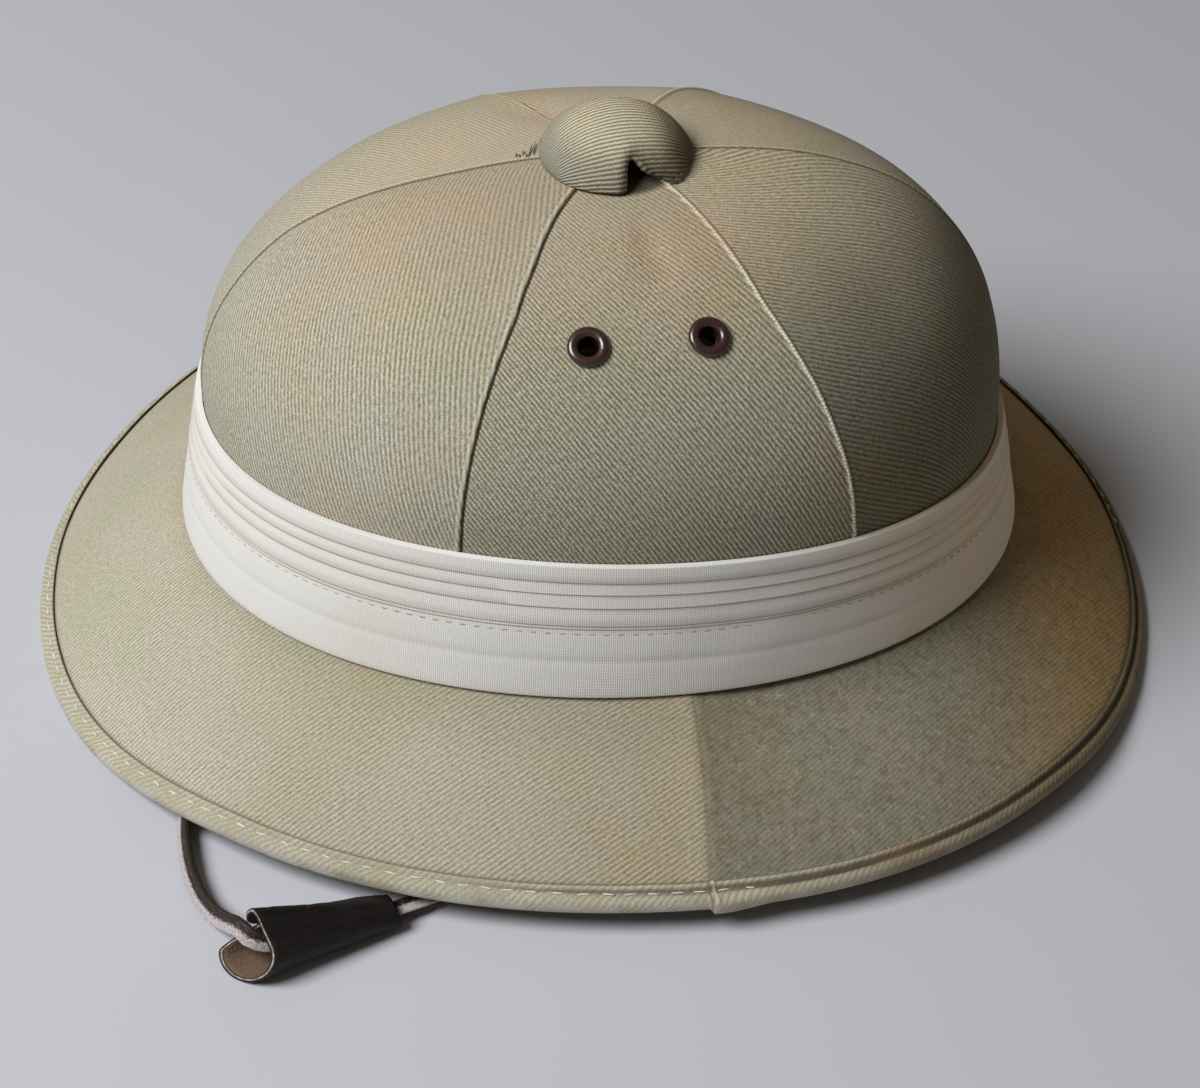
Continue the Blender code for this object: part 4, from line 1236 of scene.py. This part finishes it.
def makeBinding():
    form, edging = helmetForm, edgeBinding
    joint, profile = edging["jointAngle"], edging["profile"]
    closer = [math.radians(joint + step) for step in edging["besideJoint"]]
    angles, places, length = edgeLine(edging["columns"], closer)
    columns = len(angles)
    cloth, gap = form["clothOnEdge"], form["gap"]
    rows = len(profile) + 9  # and nine more round the edge and underneath

    def place(row, column):
        angle = angles[column]
        foot, edge, outwards, width = brimSection(angle)
        inner, flatEnd = width - cloth, width - edging["foot"]
        underEnd = width - edging["underReach"]
        inside, edgeTop = edge.z + cloth, edge.z + form["brimEdgeRise"]
        under = brimTop(foot, edge, width, underEnd) - form["brimThickness"]
        away = math.degrees(angle) - joint
        lap = mixed(1.0, 0.25, eased(away, 0.24, 0.6)) * (1.0 - eased(away, 0.8, 8.0))
        over = edging["jointHeight"] * eased(away, -0.28, -0.03) * lap
        out = edging["jointBulge"] * eased(away, -0.4, 0.0) * (1.0 - eased(away, 0.3, 6.0))
        if row < len(profile):
            reach, deep, flat = profile[row]
            base = brimTop(foot, edge, width, min(width - reach, inner))
            spot = foot + outwards * (width - reach + out * eased(reach, 0.0016, 0.0002))
            height = base + mixed(flat, deep, pulledBy(angle))
            if 1 < row < len(profile) - 1:
                height += sum(depth * wander(spot, size, seed) for depth, size, seed in edging["slack"])
            return Vector((spot.x, spot.y, height + (over if row > 1 else 0.0)))
        lower = (
            (width + out, edge.z + cloth * 1.2 - out * 0.5),
            (width - cloth * 0.15 + out * 0.6, edge.z + cloth * 0.45 - out),
            (width - cloth * 0.6, edge.z - out),
            (flatEnd, edge.z),
            (underEnd, under - gap - cloth),
            (underEnd, under - gap),
            (flatEnd, inside),
            (inner, inside),
            (inner, edgeTop + gap),
        )
        reach, height = lower[row - len(profile)]
        spot = foot + outwards * reach
        return Vector((spot.x, spot.y, height))

    def clothUv(row, column, start):
        if row >= rows:
            across = 0.030
        elif row < len(profile):
            across = 0.0042 - profile[row][0]
        else:
            across = 0.0055 + 0.0016 * (row - len(profile))
        return (places[column % columns] + (length if column >= columns else 0.0), across)

    def toneUv(row, column, start):
        angle = angles[column % columns]
        away = halfTurn(math.degrees(angle) - joint)
        return (pulledBy(angle), math.radians(away) * edging["turnRadius"])

    bm = spunSkin(rows, columns, place, {"cloth": clothUv, "tone": toneUv})
    return finishPiece("brimBinding", bm, bindingCloth(), ("brim_binding",), crease=75.0)


def threadFinish(name, dark, pale):
    finish = Finish(name)
    twist = finish.grain(2400.0)
    finish.paint(twist.step(0.3, 0.7), pale, over=dark)
    finish.paint(finish.grain(60.0).step(0.6, 0.35) * 0.5, dark)
    return finish.done(0.8, twist, 0.4, 0.0003, Specular_IOR_Level=0.25)


def sewStitches(name, stations, colours):
    # a stitch at each (spot, direction along, direction up, half size)
    bm = bmesh.new()
    for spot, along, up, size in stations:
        turned = Matrix((along, up.cross(along).normalized(), up)).transposed().to_4x4()
        matrix = Matrix.Translation(spot) @ turned @ Matrix.Diagonal((*size, 1.0))
        matrix = matrix @ Matrix.Rotation(math.pi / 2.0, 4, "Y")
        bmesh.ops.create_uvsphere(bm, u_segments=6, v_segments=5, radius=1.0, matrix=matrix)
    return finishPiece(name, bm, threadFinish(name.replace("Stitches", "Thread"), *colours))


def makeBindingStitches():
    edging = edgeBinding
    count = round(edgeLine(8)[2] / edging["stitchPitch"])
    stations = []
    for index, angle in enumerate(edgeLine(count)[0]):
        pulled = pulledBy(angle)
        if pulled > edging["sunk"] or abs(math.degrees(angle) - edging["jointAngle"]) < 0.8:
            continue  # sunk in the groove, or under the folded end
        foot, edge, outwards, width = brimSection(angle)
        ahead = (edgePoint(angle + 0.01) - edgePoint(angle - 0.01)).normalized()
        reach = width - edging["grooveReach"]
        spot = foot + outwards * reach
        height = brimTop(foot, edge, width, reach) + mixed(*edging["stitchHeights"], pulled)
        # no two are sewn quite alike
        height += 0.00006 * math.sin(index * 3.9)
        spot = Vector((spot.x, spot.y, height)) + ahead * 0.0006 * math.sin(index * 5.3)
        along = (ahead + outwards * 0.16 * math.sin(index * 2.7)).normalized()
        up = Vector((outwards.x * 0.45, outwards.y * 0.45, 1.0))
        up = (up - along * up.dot(along)).normalized()
        stations.append((spot, along, up, edging["stitchSize"]))
    return sewStitches("bindingStitches", stations, edging["thread"])


binding = makeBinding()
bindingStitches = makeBindingStitches()
print("binding made:", len(binding.data.polygons), "and", len(bindingStitches.data.polygons), "faces")


# The puggaree: cotton laid in pleats round the crown
puggareeBand = {
    "columns": 300,
    # share from the head, thickness added outside; two rows at one share make the edge of a pleat
    "folds": (
        (0.000, 0.00010), (0.004, 0.00035), (0.020, 0.00045), (0.060, 0.00050), (0.112, 0.00060), (0.116, 0.00052),
        (0.117, 0.00026), (0.130, 0.00028), (0.160, 0.00040), (0.202, 0.00060), (0.206, 0.00052),
        (0.207, 0.00026), (0.220, 0.00029), (0.255, 0.00044), (0.302, 0.00066), (0.306, 0.00058),
        (0.307, 0.00030), (0.322, 0.00034), (0.370, 0.00048), (0.436, 0.00070), (0.441, 0.00062),
        (0.442, 0.00038), (0.452, 0.00044), (0.464, 0.00050), (0.468, 0.00043),
        (0.469, 0.00022), (0.485, 0.00032), (0.500, 0.00027), (0.515, 0.00034), (0.560, 0.00040), (0.640, 0.00046),
        (0.695, 0.00044), (0.712, 0.00028), (0.730, 0.00038), (0.800, 0.00042), (0.900, 0.00040), (0.970, 0.00034),
        (0.990, 0.00026), (1.000, 0.00008),
    ),
    "stitchShare": 0.502,
    "stitchPitch": 0.0034,
    "stitchSize": (0.0009, 0.00016, 0.00012),
    "stitchLift": 0.00030,
    "height": 0.037,  # down its slope
    "ribPitch": 0.00052,
    "weftPitch": 0.00046,
    # the painted shadow lines under the pleats' edges and the painted soft shade over each: share from the head, and
    # reach
    "pleatLines": ((0.117, 0.016), (0.207, 0.016), (0.307, 0.017), (0.442, 0.015), (0.469, 0.014)),
    "pleatShades": ((0.088, 0.03), (0.180, 0.03), (0.278, 0.035), (0.415, 0.04)),
    "cotton": ((0.560, 0.540, 0.490), (0.750, 0.735, 0.690)),
    "thread": ((0.34, 0.27, 0.16), (0.55, 0.48, 0.34)),
}


def bandCotton():
    finish = Finish("bandCotton")
    form, (dark, pale) = puggareeBand, puggareeBand["cotton"]
    along, down = finish.uvOf("cloth")  # metres along, share from the head down
    x = finish.apart(finish.coords)[0]
    warp = finish.streaks(along * 420.0, down * 7.0)
    ribs = (along / form["ribPitch"] + (warp - 0.5) * 1.4).wave()
    weft = (down * form["height"] / form["weftPitch"] + along * 8.0).wave()
    weave = ribs * 0.6 + weft * 0.4
    finish.paint(weave.step(0.05, 0.9), pale, over=dark)
    finish.paint(finish.streaks(along * 900.0, down * 3.0).step(0.62, 0.75) * 0.15, (0.54, 0.50, 0.41))
    finish.paint(finish.grain(22.0, 4.0, 0.6).step(0.50, 0.75) * 0.25, (0.600, 0.550, 0.440))
    ends = x.step(-0.035, -0.080) + x.step(0.025, 0.075)  # the pleats show most where the band turns away
    # painted shadow lines under the pleats' edges and painted soft shade over each, stronger where the band turns away
    lines = functools.reduce(operator.add, (down.near(*line) for line in form["pleatLines"]))
    finish.paint(lines * (ends * 0.48 + 0.32), (0.300, 0.245, 0.150))
    shades = functools.reduce(operator.add, (down.near(*shade) for shade in form["pleatShades"]))
    finish.paint(shades * (0.12 + ends * 0.20), (0.560, 0.480, 0.340))
    # warmer towards the back, in patches
    warmPatches = finish.grain(55.0, 3.0, 0.6).step(0.40, 0.66) * 0.35 + 0.65
    finish.tint(x.step(0.035, 0.100) * warmPatches, (1.20, 1.00, 0.80))
    finish.paint(down.near(1.0, 0.05) * 0.4, (0.44, 0.38, 0.28))
    return finish.done(0.9, weave * 0.7 + warp * 0.3, 0.35, 0.0003, Specular_IOR_Level=0.2)


def bandPoint(angle, share, extra):
    # share goes from the band's head down
    height = 1.0 - share
    return wallPoint(angle, height, mixed(helmetForm["bandFoot"], helmetForm["bandHead"], height) + extra)


def bandTurns(count):
    # even angles round the band, and its length
    turns = [math.tau * step / count for step in range(count)]
    return turns, pathLengths([wallPoint(turn, 0.5) for turn in turns + turns[:1]])[-1]


def makeBand():
    form, folds, columns = helmetForm, puggareeBand["folds"], puggareeBand["columns"]
    turns, length = bandTurns(columns)
    lift = Vector((0.0, 0.0, form["bandLift"]))

    def place(row, column):
        angle = turns[column]
        if row == len(folds):
            return wallPoint(angle, 0.0, form["gap"]) + lift
        if row == len(folds) + 1:
            return wallPoint(angle, 1.0, form["gap"])
        share, extra = folds[row]
        spot = bandPoint(angle, share, extra)
        level, belly = Vector((spot.x, spot.y, 0.0)), math.sin(math.pi * share)
        sag = 0.00028 * wander(level, 0.024, share * 1.5)
        drift = 0.0045 * wander(level, 0.060, 7.0) * belly
        spot = bandPoint(angle, min(max(share + drift, 0.0), 1.0), extra + max(sag, -0.00015) * belly)
        return spot + (lift if row == len(folds) - 1 else Vector())

    def clothUv(row, column, start):
        share = folds[row][0] if row < len(folds) else (1.02 if row == len(folds) else -0.05)
        return (length * column / columns, share)

    bm = spunSkin(len(folds) + 2, columns, place, {"cloth": clothUv})
    return finishPiece("puggareeBand", bm, bandCotton(), ("puggaree",), crease=35.0)


def makeBandStitches():
    form, share = puggareeBand, puggareeBand["stitchShare"]
    stations = []
    for angle in bandTurns(round(bandTurns(720)[1] / form["stitchPitch"]))[0]:
        spot = bandPoint(angle, share, form["stitchLift"])
        along = (bandPoint(angle + 0.01, share, 0.0) - bandPoint(angle - 0.01, share, 0.0)).normalized()
        up = along.cross(bandPoint(angle, share - 0.1, 0.0) - bandPoint(angle, share + 0.1, 0.0)).normalized()
        stations.append((spot, along, up, form["stitchSize"]))
    return sewStitches("bandStitches", stations, form["thread"])


band = makeBand()
bandStitches = makeBandStitches()
print("puggaree made:", len(band.data.polygons), "and", len(bandStitches.data.polygons), "faces")


# The ventilator button, with its notch
topButton = {
    "radius": 0.0202,
    "height": 0.0122,
    "wall": 0.0016,
    "lift": -0.0004,
    # the notch: height of its rim at an angle
    "notch": (
        (3.4, 0.0), (4.4, 0.0050), (6.0, 0.0070), (9.0, 0.0078), (13.0, 0.0078),
        (18.0, 0.0070), (23.0, 0.0054), (28.0, 0.0038), (34.0, 0.0020), (39.0, 0.0),
    ),
    "notchSteps": 1.0,
    "tuck": 0.0011,  # how far the cloth turns in round the notch
    "tuckReach": 0.0024,
    "lobeAngle": 49.0,  # the rolled edge beside the notch
    "lobeSpread": 12.0,
    "lobeSize": 0.0013,
    "rows": 34,
    "plainColumns": 90,
    "ribPitch": 0.00136,
    "ribTurn": 10.0,
    "ribDepth": 0.0040,
    "ribShift": 0.0045,  # the ribs meet in front of the middle
    "dents": ((0.00040, 0.009, 1.0), (0.00016, 0.0035, 0.0)),  # depth, size and seed
    "frayAngle": 46.0,
    "frayDepth": 0.00050,
    "cloth": ((0.124, 0.114, 0.077), (0.384, 0.362, 0.278)),
}


def buttonCloth():
    finish = Finish("buttonCloth")
    along, across = finish.uvOf("cloth")
    x, _, z = finish.apart(finish.coords)
    warp = finish.streaks(along * 120.0, across * 120.0)
    fine = finish.streaks(along * 1300.0, across * 500.0)
    fuzz = finish.grain(1150.0, 3.0, 0.7)
    rib = (across / topButton["ribPitch"] + (warp - 0.5) * 0.5 + (fine - 0.5) * 0.35).wave()
    floats = (along / 0.0008 + across / 0.0019).wave()
    thread = rib * 0.80 + floats * rib * 0.15 + (fine - 0.5) * 0.30 + (fuzz - 0.5) * 0.30
    dark, pale = topButton["cloth"]
    finish.paint(thread.step(-0.05, 0.75), pale, over=dark)
    finish.tint(finish.grain(70.0, 3.0).step(0.45, 0.7) * 0.35, (1.05, 0.94, 0.82))
    # painted light: the top is painted much paler
    finish.tint(z.step(0.1512, 0.1572), (1.66, 1.59, 1.46))
    # painted shade: the side away from the front is painted darker, and so is the cloth round the notch
    finish.tint(x.step(0.008, 0.020) * 0.85, (0.52, 0.43, 0.32))
    edge, lobe = finish.uvOf("tone")  # metres from the notch, and how near to the rolled edge
    finish.tint(edge.step(0.0034, 0.0004) * 0.70, (0.40, 0.38, 0.31))
    frayed = finish.grain(900.0, 3.0, 0.7).step(0.45, 0.62) * lobe
    finish.paint(frayed * 0.8, (0.62, 0.60, 0.50))
    height = rib * 0.8 + floats * rib * 0.2 + fuzz * 0.2
    return finish.done(0.88, height, 0.65, 0.00045, Specular_IOR_Level=0.2)


def makeButton():
    form = topButton
    radius, height, notch, rows = form["radius"], form["height"], form["notch"], form["rows"]
    start, end = notch[0][0], notch[-1][0]
    count = round((end - start) / form["notchSteps"])
    inNotch = [start + (end - start) * part / count for part in range(count + 1)]
    inNotch += [start - 0.6, start + 0.3, start + 0.6, end + 0.8]
    step = 360.0 / form["plainColumns"]
    free = [index * step for index in range(form["plainColumns"])]
    free = [angle for angle in free if not start - 0.6 - step * 0.4 < angle < end + 0.8 + step * 0.4]
    angles = sorted(free + inNotch)
    columns = len(angles)
    middle = Vector((helmetForm["seatCentreX"] + helmetForm["peakShift"], 0.0, helmetForm["crownTop"]))
    middle.z += form["lift"]
    arch = [(math.radians(angle) * radius, rise) for angle, rise in notch]

    def risen(row, column):
        # rows run from the rim to the peak; in the notch the rim is raised to the arch
        rim = alongTable(notch, angles[column]) if start < angles[column] < end else 0.0
        lowest = math.asin(min(rim / height, 0.96))
        return mixed(lowest, math.pi / 2.0, row / (rows - 1))

    def local(row, column):
        turn, angle = risen(row, column), math.radians(angles[column])
        out, up = math.cos(turn) * radius, math.sin(turn) * height
        return Vector((math.sin(angle) * out, -math.cos(angle) * out, up))

    def notchAway(row, column):
        # distance over the cloth from the notch's rim
        turn = risen(row, column)
        across, up = math.radians(halfTurn(angles[column])) * radius * math.cos(turn), math.sin(turn) * height
        best = 1.0
        for (x0, y0), (x1, y1) in zip(arch, arch[1:]):
            span = (x1 - x0) ** 2 + (y1 - y0) ** 2
            share = min(max(((across - x0) * (x1 - x0) + (up - y0) * (y1 - y0)) / span, 0.0), 1.0)
            best = min(best, math.hypot(across - mixed(x0, x1, share), up - mixed(y0, y1, share)))
        return best

    def place(row, column):
        if row == rows - 1:
            return middle + Vector((0.0, 0.0, height))
        turn, angle = risen(row, column), math.radians(angles[column])
        spot, low, level = local(row, column), hump(risen(row, column), 0.0, 0.36), math.cos(risen(row, column))
        dent = sum(depth * wander(spot, size, seed) * level for depth, size, seed in form["dents"])
        lobe = form["lobeSize"] * hump(angles[column], form["lobeAngle"], form["lobeSpread"]) * low
        ragged = form["frayDepth"] * wander(spot, 0.0010, 5.0) * hump(angles[column], form["frayAngle"], 11.0) * low
        tucked = form["tuck"] * (1.0 - eased(notchAway(row, column), 0.0, form["tuckReach"])) ** 2
        outward = Vector((math.sin(angle) * level, -math.cos(angle) * level, math.sin(turn)))
        return middle + spot + outward * (dent + lobe + ragged - tucked) - Vector((0.0, 0.0, lobe * 0.5))

    def clothUv(row, column, start):
        # the ribs lie in planes that all pass through one line under the button
        spot = local(row, column % columns)
        turn, deep = math.radians(form["ribTurn"]), form["ribDepth"]
        east = spot.x * math.cos(turn) + spot.y * math.sin(turn)
        north = spot.y * math.cos(turn) - spot.x * math.sin(turn)
        return (east, (height + deep) * math.atan2(-north - form["ribShift"], spot.z + deep))

    def toneUv(row, column, start):
        column %= columns
        frayed = hump(angles[column], form["lobeAngle"], 9.0) * hump(risen(row, column), 0.0, 0.16)
        return (notchAway(row, column), frayed)

    bm = spunSkin(rows, columns, place, {"cloth": clothUv, "tone": toneUv}, closedSection=False)
    within = shellPlain("buttonWithin")
    button = finishPiece("topButton", bm, buttonCloth(), ("top_button",), within=within)
    addWall(button, form["wall"])
    return button


# Hand stitches that hold the seam beside the button
handStitches = {
    # angle and height share of both ends of each
    "strokes": (
        (272.0, 0.900, 248.0, 0.900), (269.0, 0.907, 243.0, 0.900), (263.0, 0.914, 235.0, 0.900),
        (261.0, 0.921, 230.0, 0.900), (268.5, 0.884, 263.0, 0.885), (270.0, 0.889, 265.0, 0.889),
        (266.5, 0.893, 259.0, 0.894), (271.0, 0.898, 265.0, 0.898),
    ),
    "thickness": 0.00018,
    "lift": 0.00050,
    "thread": ((0.170, 0.148, 0.092), (0.300, 0.270, 0.175)),
}


def makeHandStitches():
    thick = handStitches["thickness"]
    stations = []
    for startAngle, startShare, endAngle, endShare in handStitches["strokes"]:
        start, end = domePoint(math.radians(startAngle), startShare), domePoint(math.radians(endAngle), endShare)
        normal = domeNormal(math.radians((startAngle + endAngle) / 2.0), startShare)
        along = (end - start).normalized()
        normal = (normal - along * normal.dot(along)).normalized()
        size = ((end - start).length / 2.0, thick, thick * 1.5)
        stations.append(((start + end) / 2.0 + normal * handStitches["lift"], along, normal, size))
    sewStitches("handStitches", stations, handStitches["thread"])


button = makeButton()
makeHandStitches()
print("button made:", len(button.data.polygons), "faces")


# The two brown eyelets
def eyeletMetal():
    finish = Finish("eyeletMetal")
    fine = finish.grain(1500.0, 3.0)
    chips = finish.grain(520.0, 4.0, 0.7).step(0.66, 0.76)
    dark, pale = ventEyelets["paint"]
    finish.paint(fine, pale, over=dark)
    finish.paint(chips * 0.4, ventEyelets["chips"])
    gloss = {"Metallic": 0.2, "Coat_Weight": 0.6, "Coat_Roughness": 0.1}
    return finish.done(0.24 + fine * 0.14, fine, 0.15, 0.0003, **gloss)


def makeEyelets():
    form = ventEyelets
    outer, hole, barrel = form["outerRadius"], form["holeRadius"], form["barrelRadius"]
    seat, steps = form["seat"], form["steps"]
    deep, under = -helmetForm["crownWall"] - form["tail"], seat - 0.0001
    middle, half = (outer + hole) / 2.0, (outer - hole) / 2.0
    profile = [(hole, deep), (hole, -0.002), (hole, seat)]
    for step in range(13):
        # the flange is rolled over in a half round
        turn = math.pi * (1.0 - step / 12.0)
        profile.append((middle + half * math.cos(turn), seat + 0.0002 + (form["flange"] - 0.0002) * math.sin(turn)))
    profile += [(outer, seat), (outer - 0.0003, under), (barrel, under), (barrel, -0.003), (barrel, deep)]
    metal = eyeletMetal()
    for name, node, angle, share in form["places"]:
        where = eyeletPlace(angle, share)

        def place(row, column):
            radius, height = profile[row]
            turn = math.tau * column / steps
            return where @ Vector((radius * math.cos(turn), radius * math.sin(turn), height))

        def turnedUv(row, column, start):
            return (column / steps, row / len(profile))

        bm = spunSkin(len(profile), steps, place, {"turned": turnedUv})
        finishPiece(name, bm, metal, (node,), crease=50.0)


makeEyelets()
print("eyelets made")


# Floor and light
studio = {
    "floor": (0.50, 0.51, 0.53),
    "floorHalf": 3.0,  # half its side
    "keyPower": 40.0,
    "keySpot": (-1.12, -0.42, 1.42),
    "keyAim": (0.0, 0.0, 0.08),
    "keySize": 1.0,
    "keyColour": (0.97, 0.985, 1.03),
    "world": (1.00, 0.88, 0.74),
    "worldStrength": 0.13,
}


def makeStudio():
    group = bpy.context.scene.collection
    finish = Finish("floorPaper")
    pale = studio["floor"]
    finish.paint(finish.grain(6.0, 3.0), pale, over=tuple(part * 0.97 for part in pale))
    bm = bmesh.new()
    bmesh.ops.create_grid(bm, x_segments=2, y_segments=2, size=studio["floorHalf"])
    floor = meshObject("floor", bm, group)
    floor.data.materials.append(finish.done(0.92, Specular_IOR_Level=0.15))
    light = bpy.data.lights.new("key", "AREA")
    light.shape, light.size, light.energy = "DISK", studio["keySize"], studio["keyPower"]
    light.color = studio["keyColour"]
    lamp = bpy.data.objects.new("key", light)
    spot = Vector(studio["keySpot"])
    towards = (Vector(studio["keyAim"]) - spot).to_track_quat("-Z", "Y")
    lamp.matrix_world = Matrix.Translation(spot) @ towards.to_matrix().to_4x4()
    group.objects.link(lamp)
    world = bpy.data.worlds.new("studio")
    world.use_nodes = True
    background = world.node_tree.nodes["Background"]
    background.inputs["Color"].default_value = (*studio["world"], 1.0)
    background.inputs["Strength"].default_value = studio["worldStrength"]
    bpy.context.scene.world = world
    bpy.context.scene.view_settings.view_transform = "Standard"


makeStudio()
print("floor and light made")

bpy.context.view_layer.update()
